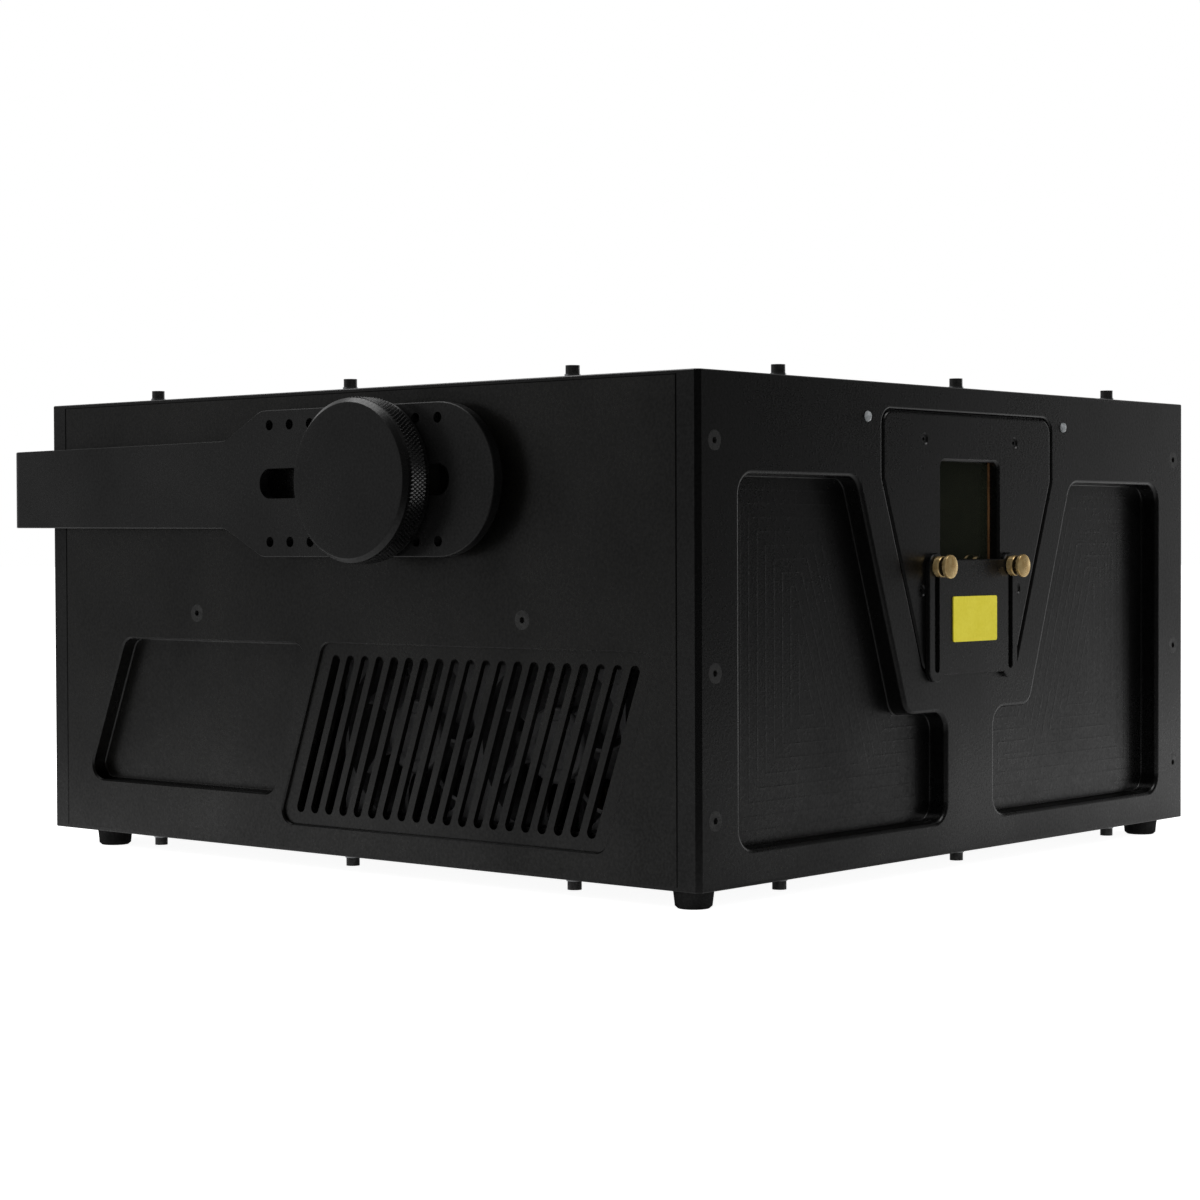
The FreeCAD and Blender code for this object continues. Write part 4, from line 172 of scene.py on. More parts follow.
def makeFinish(name, look):
    material = bpy.data.materials.new(name)
    material.use_nodes = True
    tree = material.node_tree
    tree.nodes.clear()
    place = addNode(tree, "ShaderNodeTexCoord").outputs["Object"]
    grainPlace = place
    if "stretch" in look:
        grainPlace = addNode(tree, "ShaderNodeMapping", {
            "Vector": place, "Scale": look["stretch"]}).outputs[0]
    grain = addNode(tree, "ShaderNodeTexNoise", {
        "Vector": grainPlace, "Scale": 1 / (look["grain"] * mm),
        "Detail": drifting["grainDetail"]}).outputs["Fac"]
    cloud = addNode(tree, "ShaderNodeTexNoise", {
        "Vector": place, "Scale": 1 / (look["cloud"] * mm),
        "Detail": drifting["cloudDetail"]}).outputs["Fac"]
    grainPart = addNode(tree, "ShaderNodeMath", {
        0: grain, 1: drifting["grainShare"]}, operation="MULTIPLY").outputs[0]
    drift = addNode(tree, "ShaderNodeMath", {
        0: cloud, 1: drifting["cloudShare"], 2: grainPart}, operation="MULTIPLY_ADD").outputs[0]
    colour = addNode(tree, "ShaderNodeValToRGB", {"Fac": drift})
    stops = colour.color_ramp.elements
    for stop, end, shade in zip(stops, ("colourFrom", "colourTo"), ("dark", "light")):
        stop.position = drifting[end]
        stop.color = hexColor(look[shade])
    height = addNode(tree, "ShaderNodeMath", {
        0: grain, 1: look["bump"] * mm}, operation="MULTIPLY").outputs[0]
    if "milled" in look:
        axes = addNode(tree, "ShaderNodeSeparateXYZ", {0: place}).outputs
        made = {"x": axes["X"], "y": axes["Y"], "z": axes["Z"], "grain": height, "patchy": drift,
                **look["milled"]}
        for result, operation, first, second in (
                ("across", "ABSOLUTE", "x", "x"), ("toOuter", "SUBTRACT", "outer", "across"),
                ("toLow", "SUBTRACT", "z", "low"), ("toHigh", "SUBTRACT", "high", "z"),
                ("toBar", "SUBTRACT", "across", "bar"), ("toLedge", "SUBTRACT", "ledge", "z"),
                ("fromKnee", "SUBTRACT", "across", "slantX"), ("fromLedge", "SUBTRACT", "z", "ledge"),
                ("leanX", "MULTIPLY", "fromKnee", "slantAcross"),
                ("leanZ", "MULTIPLY", "fromLedge", "slantUp"),
                ("toSlant", "ADD", "leanX", "leanZ"), ("inner", "MAXIMUM", "toSlant", "toLedge"),
                ("sides", "MINIMUM", "toOuter", "toBar"), ("ends", "MINIMUM", "toLow", "toHigh"),
                ("walls", "MINIMUM", "sides", "ends"), ("wall", "MINIMUM", "walls", "inner"),
                ("rings", "DIVIDE", "wall", "step"), ("saw", "FRACT", "rings", "rings"),
                ("centred", "SUBTRACT", "saw", 0.5), ("ridge", "ABSOLUTE", "centred", "centred"),
                ("whole", "MULTIPLY", "ridge", 2.0), ("line", "POWER", "whole", "sharpness"),
                ("onFloor", "GREATER_THAN", "y", "floorY"), ("shown", "MULTIPLY", "line", "onFloor"),
                ("faded", "MULTIPLY", "shown", "patchy"), ("raised", "MULTIPLY", "faded", "height"),
                ("both", "ADD", "raised", "grain")):
            made[result] = addNode(tree, "ShaderNodeMath", {0: made[first], 1: made.get(second, second)},
                                   operation=operation).outputs[0]
        height = made["both"]
    low, high = look["rough"]
    sheen = look.get("specular", 0.5)
    span = {"Value": drift, "From Min": drifting["glossFrom"], "From Max": drifting["glossTo"]}
    rough = addNode(tree, "ShaderNodeMapRange", {**span, "To Min": high, "To Max": low}).outputs[0]
    gloss = addNode(tree, "ShaderNodeMapRange", {
        **span, "To Min": sheen * drifting["dullest"], "To Max": sheen * drifting["glossiest"]}).outputs[0]
    shades = []
    # painted shade: colour and gloss are darkened to the band's tone inside a band along one axis
    if "paintedShadeBand" in look:
        paintedShadeBand = look["paintedShadeBand"]
        along = addNode(tree, "ShaderNodeSeparateXYZ", {0: place}).outputs[paintedShadeBand["axis"]]
        inside = addNode(tree, "ShaderNodeMath", {
            0: along, 1: paintedShadeBand["middle"], 2: paintedShadeBand["reach"]}, operation="COMPARE").outputs[0]
        shades.append(addNode(tree, "ShaderNodeMapRange", {
            "Value": inside, "To Min": 1.0, "To Max": paintedShadeBand["tone"]}).outputs[0])
    # painted shade: colour and gloss are darkened on walls that face up
    if "upward" in look:
        normal = addNode(tree, "ShaderNodeNewGeometry").outputs["Normal"]
        facing = addNode(tree, "ShaderNodeSeparateXYZ", {0: normal}).outputs["Z"]
        shades.append(addNode(tree, "ShaderNodeMapRange", {
            "Value": facing, "From Min": drifting["slopeFrom"], "From Max": drifting["slopeTo"],
            "To Min": 1.0, "To Max": look["upward"]}).outputs[0])
    tint, shine = colour.outputs[0], gloss
    for shade in shades:
        tint = addNode(tree, "ShaderNodeVectorMath", {
            0: tint, "Scale": shade}, operation="SCALE").outputs[0]
        shine = addNode(tree, "ShaderNodeMath", {0: shine, 1: shade}, operation="MULTIPLY").outputs[0]
    shader = addNode(tree, "ShaderNodeBsdfPrincipled", {
        "Base Color": tint, "Roughness": rough, "Metallic": look.get("metallic", 0.0),
        "Specular IOR Level": shine, "Transmission Weight": look.get("transmission", 0.0)})
    if look["bump"]:
        bump = addNode(tree, "ShaderNodeBump", {"Height": height, "Strength": 1.0, "Distance": 1.0})
        tree.links.new(bump.outputs[0], shader.inputs["Normal"])
    addNode(tree, "ShaderNodeOutputMaterial", {"Surface": shader.outputs[0]})
    return material


materials = {name: makeFinish(name, look) for name, look in finishes.items()}
bySlot = {}
for name, look in finishes.items():
    bySlot.setdefault(look["slot"], name)

ownFinish = {
    "side_panel_left": "blastedAnodisedSide", "side_panel_right": "blastedAnodisedSide",
    "top_cover": "blastedAnodisedCover", "bottom_cover": "blastedAnodisedCover",
    "rear_panel": "blastedAnodisedCover", "yoke": "satinAnodisedArm",
    "knob_left": "satinAnodisedKnob", "knob_right": "satinAnodisedKnob",
    "aperture_mask": "satinAnodisedArm", "aperture_screws": "dullOxideSteel", "window_clips": "giltStrip",
}
slotOf = {row["node"]: row["material_slot"] for row in frame["record"]["subparts"]}
for name, thing in nodes.items():
    finish = materials[ownFinish.get(name, bySlot[slotOf[name]])]
    if not thing.material_slots:
        thing.data.materials.append(finish)
    for place in thing.material_slots:
        place.material = finish
print("finishes made:", len(materials))


# Mesh helpers. Edges that turn by more than hardAngle degrees stay hard, and a rounded corner is made of
# roundSteps facets.

meshing = {"hardAngle": 32, "roundSteps": 4}


def lathe(profile, segments, flats=()):
    # profile is (radius, height) from one end of the axis to the other; flats lists the points whose rings
    # are hexagons
    mesh = bmesh.new()
    rings = []
    for index, (radius, height) in enumerate(profile):
        if radius == 0:
            rings.append([mesh.verts.new((0, 0, height))])
            continue
        ring = []
        for step in range(segments):
            angle = fullTurn * step / segments
            reach = radius
            if index in flats:
                reach = radius * math.cos(math.pi / 6) / math.cos(angle % (math.pi / 3) - math.pi / 6)
            ring.append(mesh.verts.new((reach * math.cos(angle), reach * math.sin(angle), height)))
        rings.append(ring)
    for lower, upper in zip(rings, rings[1:]):
        for step in range(segments):
            after = (step + 1) % segments
            corners = [lower[step % len(lower)], lower[after % len(lower)],
                       upper[after % len(upper)], upper[step % len(upper)]]
            corners = [v for i, v in enumerate(corners) if v not in corners[:i]]
            if len(corners) > 2:
                mesh.faces.new(corners)
    if len(rings[0]) > 1 and len(rings[-1]) > 1:
        for step in range(segments):
            after = (step + 1) % segments
            mesh.faces.new([rings[-1][step], rings[-1][after], rings[0][after], rings[0][step]])
    bmesh.ops.recalc_face_normals(mesh, faces=mesh.faces[:])
    return mesh


def softened(points):
    # rounds each corner that has a third number, its radius
    steps = meshing["roundSteps"]
    made = []
    for index, point in enumerate(points):
        if len(point) < 3:
            made.append(point)
            continue
        here = Vector(point[:2])
        before = (Vector(points[index - 1][:2]) - here).normalized()
        after = (Vector(points[index + 1][:2]) - here).normalized()
        half = before.angle(after) / 2
        centre = here + (before + after).normalized() * (point[2] / math.sin(half))
        start = here + before * (point[2] / math.tan(half)) - centre
        end = here + after * (point[2] / math.tan(half)) - centre
        for step in range(steps + 1):
            share = step / steps
            arm = (start * (1 - share) + end * share).normalized() * point[2]
            made.append(tuple(centre + arm))
    return made


def axisPlace(origin, direction):
    return Matrix.Translation(origin) @ Vector(direction).to_track_quat("Z", "Y").to_matrix().to_4x4()


def newPiece(name, meshes, finish):
    # joins bmeshes and plain meshes, given with their places, into one object at the origin
    whole = bmesh.new()
    for part, place in meshes:
        data = part
        if isinstance(part, bmesh.types.BMesh):
            data = bpy.data.meshes.new(name)
            part.to_mesh(data)
            part.free()
        data.transform(place)
        whole.from_mesh(data)
        bpy.data.meshes.remove(data)
    data = bpy.data.meshes.new(name)
    whole.to_mesh(data)
    whole.free()
    data.shade_smooth()
    data.set_sharp_from_angle(angle=math.radians(meshing["hardAngle"]))
    data.materials.clear()
    data.materials.append(materials[finish])
    thing = bpy.data.objects.new(name, data)
    scene.collection.objects.link(thing)
    return thing


def newTree(name, inputs):
    tree = bpy.data.node_groups.new(name, "GeometryNodeTree")
    tree.interface.new_socket("Geometry", in_out="OUTPUT", socket_type="NodeSocketGeometry")
    tree.interface.new_socket("Geometry", in_out="INPUT", socket_type="NodeSocketGeometry")
    for label, kind in inputs.items():
        tree.interface.new_socket(label, in_out="INPUT", socket_type=kind)
    return tree, addNode(tree, "NodeGroupInput").outputs


def endTree(tree, instances, finish):
    real = addNode(tree, "GeometryNodeRealizeInstances", {"Geometry": instances})
    dressed = addNode(tree, "GeometryNodeSetMaterial", {"Geometry": real.outputs[0], "Material": finish})
    addNode(tree, "NodeGroupOutput", {"Geometry": dressed.outputs[0]})


def runTree(tree, values, host):
    # runs the tree on a host mesh and gives back a plain mesh
    thing = bpy.data.objects.new(tree.name, host)
    scene.collection.objects.link(thing)
    modifier = thing.modifiers.new(tree.name, "NODES")
    modifier.node_group = tree
    for item in tree.interface.items_tree:
        if item.in_out == "INPUT" and item.name in values:
            modifier[item.identifier] = values[item.name]
    graph = bpy.context.evaluated_depsgraph_get()
    made = bpy.data.meshes.new_from_object(thing.evaluated_get(graph))
    thing.modifiers.remove(modifier)
    bpy.data.objects.remove(thing)
    return made


# Clamp knobs: a turned disc whose rim is cut with a diamond knurl. Its face is dished, and at the share
# dishAt of its radius the dish has the share dishShare of its depth.

knob = {
    "chamfer": 2.5 * mm, "bore": 6.05 * mm, "boreDepth": 9.2 * mm, "segments": 160,
    "teeth": 126, "toothLength": 2.7 * mm, "toothDepth": 0.7 * mm, "backEdge": 0.3 * mm,
    "faceEdge": 0.4 * mm, "faceRim": 2 * mm, "faceDish": 0.12 * mm, "dishAt": 0.5, "dishShare": 0.75,
}


def knurlTree():
    tree, given = newTree("knurl", {
        "Teeth": "NodeSocketInt", "Rows": "NodeSocketInt", "Radius": "NodeSocketFloat",
        "Start": "NodeSocketFloat", "Length": "NodeSocketFloat", "Depth": "NodeSocketFloat"})
    count = addNode(tree, "ShaderNodeMath", {0: given["Teeth"], 1: given["Rows"]}, operation="MULTIPLY")
    points = addNode(tree, "GeometryNodePoints", {"Count": count.outputs[0]})
    index = addNode(tree, "GeometryNodeInputIndex").outputs[0]
    made = {"index": index, "teeth": given["Teeth"], "radius": given["Radius"], "start": given["Start"],
            "length": given["Length"]}
    steps = [
        ("share", "DIVIDE", "index", "teeth"), ("row", "FLOOR", "share", None),
        ("odd", "MODULO", "row", 2.0), ("shift", "MULTIPLY", "odd", 0.5), ("spot", "ADD", "index", "shift"),
        ("turn", "DIVIDE", "spot", "teeth"), ("angle", "MULTIPLY", "turn", fullTurn),
        ("cosine", "COSINE", "angle", None), ("sine", "SINE", "angle", None),
        ("x", "MULTIPLY", "cosine", "radius"), ("y", "MULTIPLY", "sine", "radius"),
        ("step", "MULTIPLY", "length", 0.5), ("rise", "MULTIPLY", "row", "step"),
        ("z", "ADD", "rise", "start"),
        ("circle", "MULTIPLY", "radius", fullTurn), ("pitch", "DIVIDE", "circle", "teeth"),
    ]
    for name, operation, first, second in steps:
        values = {0: made[first]}
        if second is not None:
            values[1] = made.get(second, second)
        made[name] = addNode(tree, "ShaderNodeMath", values, operation=operation).outputs[0]
    spots = addNode(tree, "ShaderNodeCombineXYZ", {"X": made["x"], "Y": made["y"], "Z": made["z"]})
    outward = addNode(tree, "ShaderNodeCombineXYZ", {"X": made["cosine"], "Y": made["sine"], "Z": 0.0})
    placed = addNode(tree, "GeometryNodeSetPosition", {
        "Geometry": points.outputs[0], "Position": spots.outputs[0]})
    facing = addNode(tree, "FunctionNodeAxesToRotation",
                     {"Primary Axis": outward.outputs[0], "Secondary Axis": (0, 0, 1)},
                     primary_axis="Z", secondary_axis="X")
    # a pyramid of unit size, scaled to a tooth
    tooth = addNode(tree, "GeometryNodeMeshCone", {
        "Vertices": 4, "Radius Top": 0.0, "Radius Bottom": 0.5, "Depth": 1.0})
    size = addNode(tree, "ShaderNodeCombineXYZ", {
        "X": given["Length"], "Y": made["pitch"], "Z": given["Depth"]})
    teeth = addNode(tree, "GeometryNodeInstanceOnPoints", {
        "Points": placed.outputs[0], "Instance": tooth.outputs[0], "Rotation": facing.outputs[0],
        "Scale": size.outputs[0]})
    endTree(tree, teeth.outputs[0], materials["satinAnodisedKnob"])
    return tree


knurl = knurlTree()
for side, sign in (("left", -1), ("right", 1)):
    low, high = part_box(f"knob_{side}")
    radius = (high.z - low.z) / 2
    thick = high.x - low.x
    core = radius - knob["toothDepth"]
    edge = knob["chamfer"]
    profile = softened([
        (knob["bore"], 0), (radius - edge, 0, knob["backEdge"]), (core, edge - knob["toothDepth"]),
        (core, thick - edge + knob["toothDepth"]), (radius - edge, thick, knob["faceEdge"]),
        (radius - edge - knob["faceRim"], thick),
        (radius * knob["dishAt"], thick - knob["faceDish"] * knob["dishShare"]),
        (0, thick - knob["faceDish"]), (0, knob["boreDepth"]), (knob["bore"], knob["boreDepth"])])
    band = thick - 2 * edge
    rows = int((band - knob["toothLength"]) / (knob["toothLength"] / 2)) + 1
    start = thick / 2 - (rows - 1) * knob["toothLength"] / 4
    teeth = runTree(knurl, {
        "Teeth": knob["teeth"], "Rows": rows, "Radius": core, "Start": start,
        "Length": knob["toothLength"], "Depth": knob["toothDepth"]}, bpy.data.meshes.new("knurlHost"))
    inner = low.x if sign > 0 else high.x
    place = axisPlace((inner, (low.y + high.y) / 2, (low.z + high.z) / 2), (sign, 0, 0))
    disc = lathe(profile, knob["segments"])
    piece = newPiece(f"clampKnob_{side}", [(disc, place), (teeth, place)], "satinAnodisedKnob")
    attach(piece, f"knob_{side}")
    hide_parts(f"knob_{side}")
print("clamp knobs:", knob["teeth"], "teeth in", rows, "rows")


# Thumbscrews: turned brass spools, measured from the mask's face

thumbscrew = {
    "shank": 1.7 * mm, "collar": 4.5 * mm, "collarStart": 0.1 * mm, "collarEnd": 3.6 * mm,
    "neck": 2.6 * mm, "neckEdge": 0.2 * mm, "headStart": 4.7 * mm, "head": 5.0 * mm, "coneEnd": 5.6 * mm,
    "headEnd": 7.2 * mm, "edge": 0.8 * mm, "lip": 0.35 * mm, "segments": 56,
}
shank, collar, neck, head = (thumbscrew[key] for key in ("shank", "collar", "neck", "head"))
edge, lip, neckEdge = (thumbscrew[key] for key in ("edge", "lip", "neckEdge"))
for side in ("left", "right"):
    low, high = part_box(f"thumbscrew_{side}")
    tip = thumbscrew["headEnd"] - (high.y - low.y)
    profile = softened([
        (0, tip), (shank - lip, tip), (shank, tip + lip), (shank, thumbscrew["collarStart"]),
        (collar, thumbscrew["collarStart"], edge), (collar, thumbscrew["collarEnd"], edge),
        (neck, thumbscrew["collarEnd"], neckEdge), (neck, thumbscrew["headStart"], neckEdge),
        (head, thumbscrew["coneEnd"], lip), (head, thumbscrew["headEnd"], lip), (0, thumbscrew["headEnd"])])
    face = low.y + thumbscrew["headEnd"]
    place = axisPlace(((low.x + high.x) / 2, face, (low.z + high.z) / 2), (0, -1, 0))
    spool = lathe(profile, thumbscrew["segments"])
    piece = newPiece(f"thumbscrewSpool_{side}", [(spool, place)], "turnedBrass")
    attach(piece, f"thumbscrew_{side}")
    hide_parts(f"thumbscrew_{side}")
print("thumbscrews turned")


# Fan rotors: a moulded hub with swept, cambered blades. The hub's face is sunk inside a rim, which runs
# between the shares sinkFrom and sinkTo of its radius. The blades flatten towards their tips.

fan = {
    "blades": 7, "hub": 16 * mm, "front": 2 * mm, "back": 19.5 * mm, "tip": 35.3 * mm, "root": 14.8 * mm,
    "halfChord": 7 * mm, "halfRise": 7.6 * mm, "camber": 1.1 * mm, "sweep": -0.3, "sweepBend": 1.6,
    "flatten": 0.12, "thickness": 1.5 * mm, "pin": 1.55 * mm, "pinDepth": 8.9 * mm, "stations": 9,
    "sink": 0.6 * mm, "sinkFrom": 0.62, "sinkTo": 0.66, "faceEdge": 1.8 * mm, "backEdge": 0.5 * mm,
    "segments": 56,
}


def bladeMesh():
    count = fan["stations"]
    middle = (fan["front"] + fan["back"]) / 2
    mesh = bmesh.new()
    grid = []
    for i in range(count):
        along = i / (count - 1)
        radius = fan["root"] + (fan["tip"] - fan["root"]) * along
        rise = fan["halfRise"] * (1 - fan["flatten"] * along)
        row = []
        for j in range(count):
            across = 2 * j / (count - 1) - 1
            angle = across * fan["halfChord"] / radius + fan["sweep"] * along ** fan["sweepBend"]
            height = middle + across * rise + fan["camber"] * (1 - across ** 2)
            row.append(mesh.verts.new((radius * math.cos(angle), radius * math.sin(angle), height)))
        grid.append(row)
    for i in range(count - 1):
        for j in range(count - 1):
            mesh.faces.new((grid[i][j], grid[i + 1][j], grid[i + 1][j + 1], grid[i][j + 1]))
    bmesh.ops.recalc_face_normals(mesh, faces=mesh.faces[:])
    bmesh.ops.solidify(mesh, geom=mesh.faces[:], thickness=fan["thickness"])
    bmesh.ops.recalc_face_normals(mesh, faces=mesh.faces[:])
    data = bpy.data.meshes.new("fanBlade")
    mesh.to_mesh(data)
    mesh.free()
    return data


def bladeTree():
    tree, given = newTree("fanBlades", {"Count": "NodeSocketInt"})
    points = addNode(tree, "GeometryNodePoints", {"Count": given["Count"]})
    index = addNode(tree, "GeometryNodeInputIndex").outputs[0]
    share = addNode(tree, "ShaderNodeMath", {0: index, 1: given["Count"]}, operation="DIVIDE")
    angle = addNode(tree, "ShaderNodeMath", {0: share.outputs[0], 1: fullTurn}, operation="MULTIPLY")
    euler = addNode(tree, "ShaderNodeCombineXYZ", {"X": 0.0, "Y": 0.0, "Z": angle.outputs[0]})
    turn = addNode(tree, "FunctionNodeEulerToRotation", {0: euler.outputs[0]})
    blades = addNode(tree, "GeometryNodeInstanceOnPoints", {
        "Points": points.outputs[0], "Instance": given["Geometry"], "Rotation": turn.outputs[0]})
    endTree(tree, blades.outputs[0], materials["fanPolyester"])
    return tree


blades = bladeTree()
axisOf = {joint["child"]: Vector(joint["pos_m"]) for joint in frame["joints"] if "pos_m" in joint}
hub, front, back = fan["hub"], fan["front"], fan["back"]
hubProfile = softened([
    (0, front + fan["sink"]), (hub * fan["sinkFrom"], front + fan["sink"]), (hub * fan["sinkTo"], front),
    (hub, front, fan["faceEdge"]), (hub, back, fan["backEdge"]), (fan["pin"], back),
    (fan["pin"], fan["pinDepth"]), (0, fan["pinDepth"])])
for side, sign in (("left", 1), ("right", -1)):
    for end in ("front", "rear"):
        node, body = f"fan_rotor_{side}_{end}", f"fan_{side}_{end}"
        low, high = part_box(node)
        face = low.x - front if sign > 0 else high.x + front
        place = axisPlace((face, axisOf[body].y, axisOf[body].z), (sign, 0, 0))
        made = runTree(blades, {"Count": fan["blades"]}, bladeMesh())
        middle = lathe(hubProfile, fan["segments"])
        piece = newPiece(f"fanRotor_{side}_{end}", [(middle, place), (made, place)], "fanPolyester")
        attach(piece, body)
        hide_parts(node)
print("fan rotors: 4 of", fan["blades"], "blades")


# Small screws that hold the fittings on the back. Insets run from a fitting's edges to its screws.

flangeScrew = {
    "head": 2.3 * mm, "rise": 1.5 * mm, "edge": 0.7 * mm, "hexagon": 1.1 * mm, "hexagonDepth": 0.9 * mm,
    "seat": 0.05 * mm, "segments": 24, "inletInset": 2.6 * mm, "socketCount": 3, "socketWide": 26 * mm,
    "socketPitch": 38 * mm, "socketInset": 3.5 * mm, "lugFoot": 5 * mm, "lugInset": 5 * mm,
}


def screwTree():
    tree, given = newTree("flangeScrews", {"Screw": "NodeSocketObject", "Size": "NodeSocketFloat"})
    screw = addNode(tree, "GeometryNodeObjectInfo", {"Object": given["Screw"]})
    heads = addNode(tree, "GeometryNodeInstanceOnPoints", {
        "Points": given["Geometry"], "Instance": screw.outputs["Geometry"], "Scale": given["Size"]})
    endTree(tree, heads.outputs[0], materials["blackOxideSteel"])
    return tree


head, rise, hexagon = (flangeScrew[key] for key in ("head", "rise", "hexagon"))
bottom = rise - flangeScrew["hexagonDepth"]
screwProfile = softened([
    (0, -flangeScrew["seat"]), (head, -flangeScrew["seat"]), (head, rise, flangeScrew["edge"]),
    (hexagon, rise), (hexagon, bottom), (0, bottom)])
flats = [index for index, point in enumerate(screwProfile) if point[0] == hexagon]
screwMesh = lathe(screwProfile, flangeScrew["segments"], flats)
screwHead = newPiece("flangeScrewHead", [(screwMesh, axisPlace((0, 0, 0), (0, 1, 0)))], "blackOxideSteel")
spots = []
low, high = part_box("mains_inlet")
inset = flangeScrew["inletInset"]
spots += [(x, high.y, (low.z + high.z) / 2) for x in (low.x + inset, high.x - inset)]
low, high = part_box("data_sockets")
inset = flangeScrew["socketInset"]
for index in range(flangeScrew["socketCount"]):
    left = low.x + index * flangeScrew["socketPitch"]
    right = left + flangeScrew["socketWide"]
    spots += [(left + inset, high.y, high.z - inset), (right - inset, high.y, low.z + inset)]
low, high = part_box("safety_lug")
inset = flangeScrew["lugInset"]
foot = low.y + flangeScrew["lugFoot"]
spots += [(x, foot, z) for x in (low.x + inset, high.x - inset) for z in (low.z + inset, high.z - inset)]
host = bpy.data.meshes.new("flangeScrewSpots")
host.from_pydata(spots, [], [])
made = runTree(screwTree(), {"Screw": screwHead, "Size": 1.0}, host)
bpy.data.objects.remove(screwHead)
piece = newPiece("flangeScrews", [(made, Matrix.Identity(4))], "blackOxideSteel")
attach(piece, "case")
print("flange screws:", len(spots))


# Camera, at the photograph's place

camera = {
    "lens": 80.18, "sensor": 36, "near": 0.05, "far": 60, "spot": (-0.9785, -0.83835, 0.1412),
    "yaw": 49.054, "pitch": 1.187, "roll": 0.212,
}
yaw, pitch, roll = (math.radians(camera[key]) for key in ("yaw", "pitch", "roll"))
forward = Vector((math.sin(yaw) * math.cos(pitch), math.cos(yaw) * math.cos(pitch), -math.sin(pitch)))
level = Vector((math.cos(yaw), -math.sin(yaw), 0))
plumb = forward.cross(level)
right = math.cos(roll) * level + math.sin(roll) * plumb
down = math.cos(roll) * plumb - math.sin(roll) * level
view = Matrix((right, -down, -forward)).transposed().to_4x4()
view.translation = camera["spot"]
lens = bpy.data.cameras.new("studioCamera")
lens.sensor_fit = "HORIZONTAL"
lens.sensor_width = camera["sensor"]
lens.lens = camera["lens"]
lens.clip_start = camera["near"]
lens.clip_end = camera["far"]
eye = bpy.data.objects.new("studioCamera", lens)
eye.matrix_world = view
scene.collection.objects.link(eye)
scene.camera = eye


# Floor, backdrop and lamps

# What the case mirrors: pale paper that sweeps away from the camera, fades to the dark room in front and
# dims to the left and the far right. The backdrop above it fades to the room in front and upward, and dims
# to the left. It is tallest straight behind the case.
studio = {
    "floorSize": 14.0, "floorTone": "#f2f2f2", "floorRough": 0.9, "floorGlow": 0.93, "floorSheen": 0.28,
    "skyDiffuse": 0.6, "roomTone": 0.02, "sweepTurn": 21.3, "paperFrom": -0.583, "paperTo": 0.187,
    "paperLeft": 0.2, "paperLeftFrom": -0.8, "paperLeftTo": 0.4,
    "paperRight": 0.685, "paperRightFrom": 0.54, "paperRightTo": 2.3,
    "backdropFrom": -0.006, "backdropTo": 0.105,
    "backdropLeft": 0.23, "backdropLeftFrom": -0.8, "backdropLeftTo": -0.2,
    "backdropTop": 0.38, "backdropTallest": 1.6, "tallFrom": 0.2, "tallTo": 0.8,
}
white = (1, 1, 1, 1)
sweep = yaw - math.radians(studio["sweepTurn"])
sweepWay, rightWay = (math.sin(sweep), math.cos(sweep), 0), (math.cos(yaw), -math.sin(yaw), 0)

floorMesh = bmesh.new()
bmesh.ops.create_grid(floorMesh, x_segments=1, y_segments=1, size=studio["floorSize"])
floorData = bpy.data.meshes.new("studioFloor")
floorMesh.to_mesh(floorData)
floorMesh.free()
floorThing = bpy.data.objects.new("studioFloor", floorData)
scene.collection.objects.link(floorThing)
floorFinish = bpy.data.materials.new("paleStudioFloor")
floorFinish.use_nodes = True
tree = floorFinish.node_tree
tree.nodes.clear()
ray = addNode(tree, "ShaderNodeLightPath").outputs
seen = addNode(tree, "ShaderNodeMath", {
    0: ray["Is Camera Ray"], 1: ray["Is Transmission Ray"]}, operation="MAXIMUM").outputs[0]
spot = addNode(tree, "ShaderNodeNewGeometry").outputs["Position"]
away = addNode(tree, "ShaderNodeVectorMath", {
    0: spot, 1: sweepWay}, operation="DOT_PRODUCT").outputs["Value"]
aside = addNode(tree, "ShaderNodeVectorMath", {
    0: spot, 1: rightWay}, operation="DOT_PRODUCT").outputs["Value"]
paperStart = addNode(tree, "ShaderNodeMapRange", {
    "Value": aside, "From Min": studio["paperLeftFrom"], "From Max": studio["paperLeftTo"],
    "To Min": studio["paperLeft"], "To Max": 1.0}).outputs[0]
paperEnd = addNode(tree, "ShaderNodeMapRange", {
    "Value": aside, "From Min": studio["paperRightFrom"], "From Max": studio["paperRightTo"],
    "To Min": paperStart, "To Max": studio["paperRight"]}).outputs[0]
mirrored = addNode(tree, "ShaderNodeMapRange", {
    "Value": away, "From Min": studio["paperFrom"], "From Max": studio["paperTo"],
    "To Min": studio["roomTone"], "To Max": paperEnd}, interpolation_type="SMOOTHSTEP").outputs[0]
tone = addNode(tree, "ShaderNodeMix", {
    "Factor": ray["Is Glossy Ray"], "A": 1.0, "B": mirrored}, data_type="FLOAT").outputs[0]
sheen = addNode(tree, "ShaderNodeMath", {
    0: ray["Is Glossy Ray"], 1: studio["floorSheen"]}, operation="MULTIPLY").outputs[0]
glow = addNode(tree, "ShaderNodeMath", {
    0: seen, 1: studio["floorGlow"], 2: sheen}, operation="MULTIPLY_ADD").outputs[0]
shine = addNode(tree, "ShaderNodeMath", {0: glow, 1: tone}, operation="MULTIPLY").outputs[0]
colour = addNode(tree, "ShaderNodeVectorMath", {
    0: hexColor(studio["floorTone"])[:3], "Scale": tone}, operation="SCALE").outputs[0]
paper = addNode(tree, "ShaderNodeBsdfPrincipled", {
    "Base Color": colour, "Roughness": studio["floorRough"], "Specular IOR Level": 0.0,
    "Emission Color": white, "Emission Strength": shine})
addNode(tree, "ShaderNodeOutputMaterial", {"Surface": paper.outputs[0]})
floorFinish.cycles.emission_sampling = "NONE"
floorData.materials.append(floorFinish)

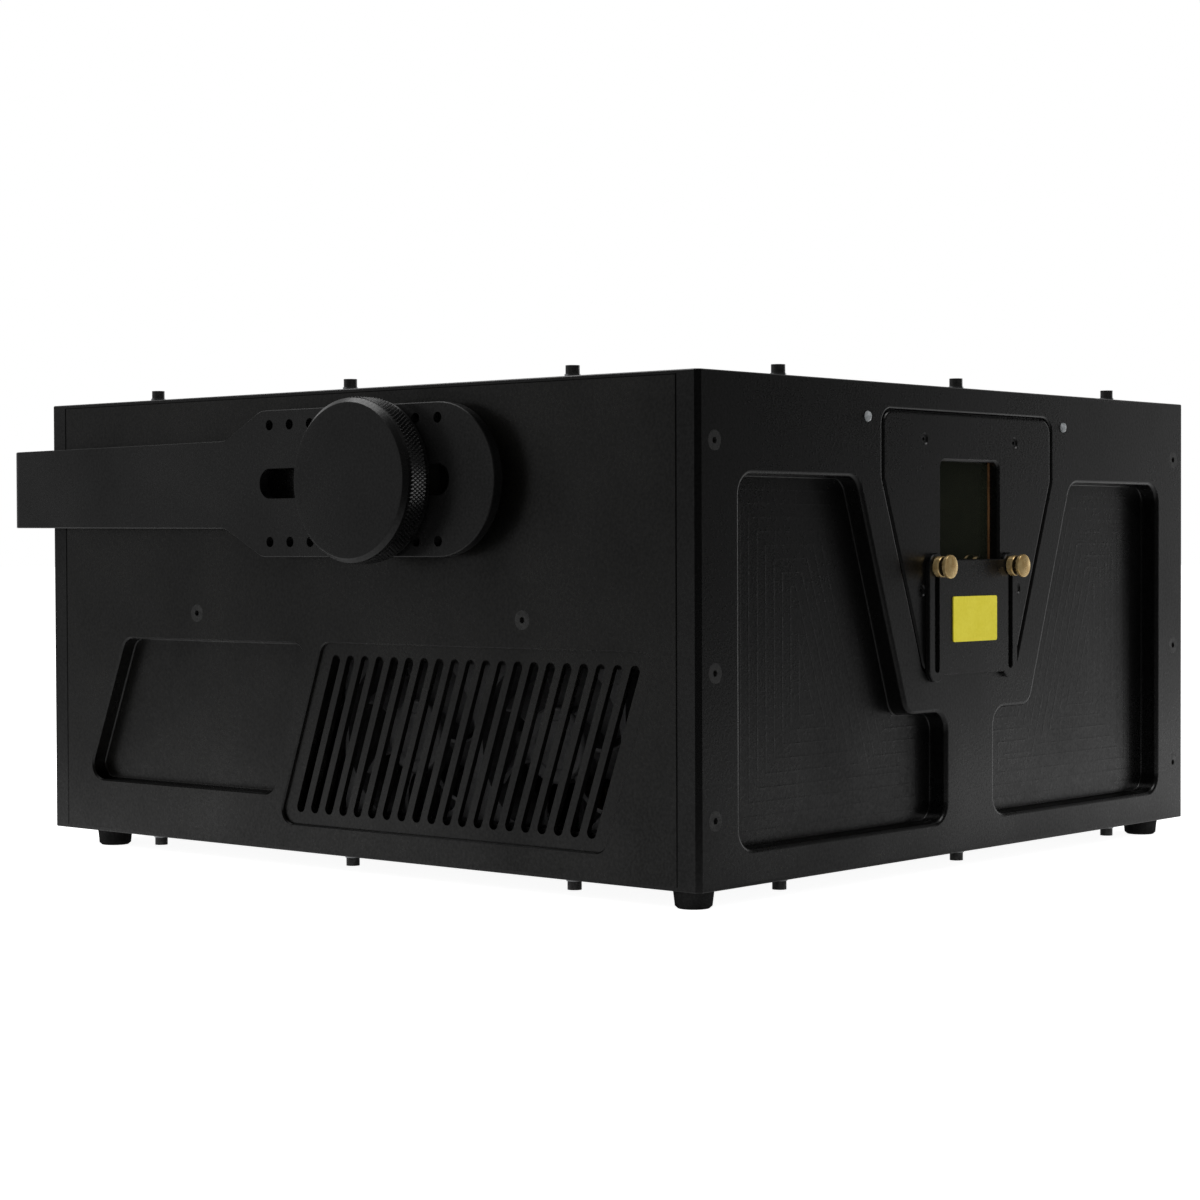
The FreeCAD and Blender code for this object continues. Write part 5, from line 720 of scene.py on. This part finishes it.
world = bpy.data.worlds.new("studioBackdrop")
scene.world = world
world.use_nodes = True
tree = world.node_tree
tree.nodes.clear()
ray = addNode(tree, "ShaderNodeLightPath").outputs
direction = addNode(tree, "ShaderNodeTexCoord").outputs["Generated"]
behind = addNode(tree, "ShaderNodeVectorMath", {
    0: direction, 1: sweepWay}, operation="DOT_PRODUCT").outputs["Value"]
upward = addNode(tree, "ShaderNodeSeparateXYZ", {0: direction}).outputs["Z"]
aside = addNode(tree, "ShaderNodeVectorMath", {
    0: direction, 1: rightWay}, operation="DOT_PRODUCT").outputs["Value"]
backdropStart = addNode(tree, "ShaderNodeMapRange", {
    "Value": aside, "From Min": studio["backdropLeftFrom"], "From Max": studio["backdropLeftTo"],
    "To Min": studio["backdropLeft"], "To Max": 1.0}).outputs[0]
tall = addNode(tree, "ShaderNodeMapRange", {
    "Value": behind, "From Min": studio["tallFrom"], "From Max": studio["tallTo"],
    "To Min": studio["backdropTop"], "To Max": studio["backdropTallest"]}).outputs[0]
top = addNode(tree, "ShaderNodeMapRange", {
    "Value": upward, "From Min": 0.0, "From Max": tall, "To Min": backdropStart,
    "To Max": studio["roomTone"]}, interpolation_type="SMOOTHSTEP").outputs[0]
fade = addNode(tree, "ShaderNodeMapRange", {
    "Value": behind, "From Min": studio["backdropFrom"], "From Max": studio["backdropTo"],
    "To Min": studio["roomTone"], "To Max": top}, interpolation_type="SMOOTHSTEP").outputs[0]
plain = addNode(tree, "ShaderNodeBackground", {"Color": white, "Strength": studio["skyDiffuse"]}).outputs[0]
sheen = addNode(tree, "ShaderNodeBackground", {"Color": white, "Strength": fade}).outputs[0]
backdrop = addNode(tree, "ShaderNodeBackground", {"Color": white, "Strength": 1.0}).outputs[0]
seen = addNode(tree, "ShaderNodeMath", {
    0: ray["Is Camera Ray"], 1: ray["Is Transmission Ray"]}, operation="MAXIMUM").outputs[0]
unseen = addNode(tree, "ShaderNodeMixShader", {0: ray["Is Glossy Ray"], 1: plain, 2: sheen}).outputs[0]
whole = addNode(tree, "ShaderNodeMixShader", {0: seen, 1: unseen, 2: backdrop})
addNode(tree, "ShaderNodeOutputWorld", {"Surface": whole.outputs[0]})
world.cycles.sampling_method = "NONE"

lamps = {
    "leftLamp": dict(spot=(-1.5, 1.2, 1.6), aim=(0, 0, 0.1), size=1.4, power=9),
    "topLamp": dict(spot=(-0.45, 0.8, 2.0), aim=(0, 0, 0.1), size=1.6, power=18),
    "frontLamp": dict(spot=(0.3, -1.3, 2.1), aim=(0, 0, 0.1), size=1.4, power=12),
}
for name, lamp in lamps.items():
    data = bpy.data.lights.new(name, "AREA")
    data.shape = "DISK"
    data.size = lamp["size"]
    data.energy = lamp["power"]
    thing = bpy.data.objects.new(name, data)
    spot = Vector(lamp["spot"])
    thing.matrix_world = axisPlace(spot, spot - Vector(lamp["aim"]))
    scene.collection.objects.link(thing)
print("camera, floor and", len(lamps), "lamps set")

bpy.context.view_layer.update()
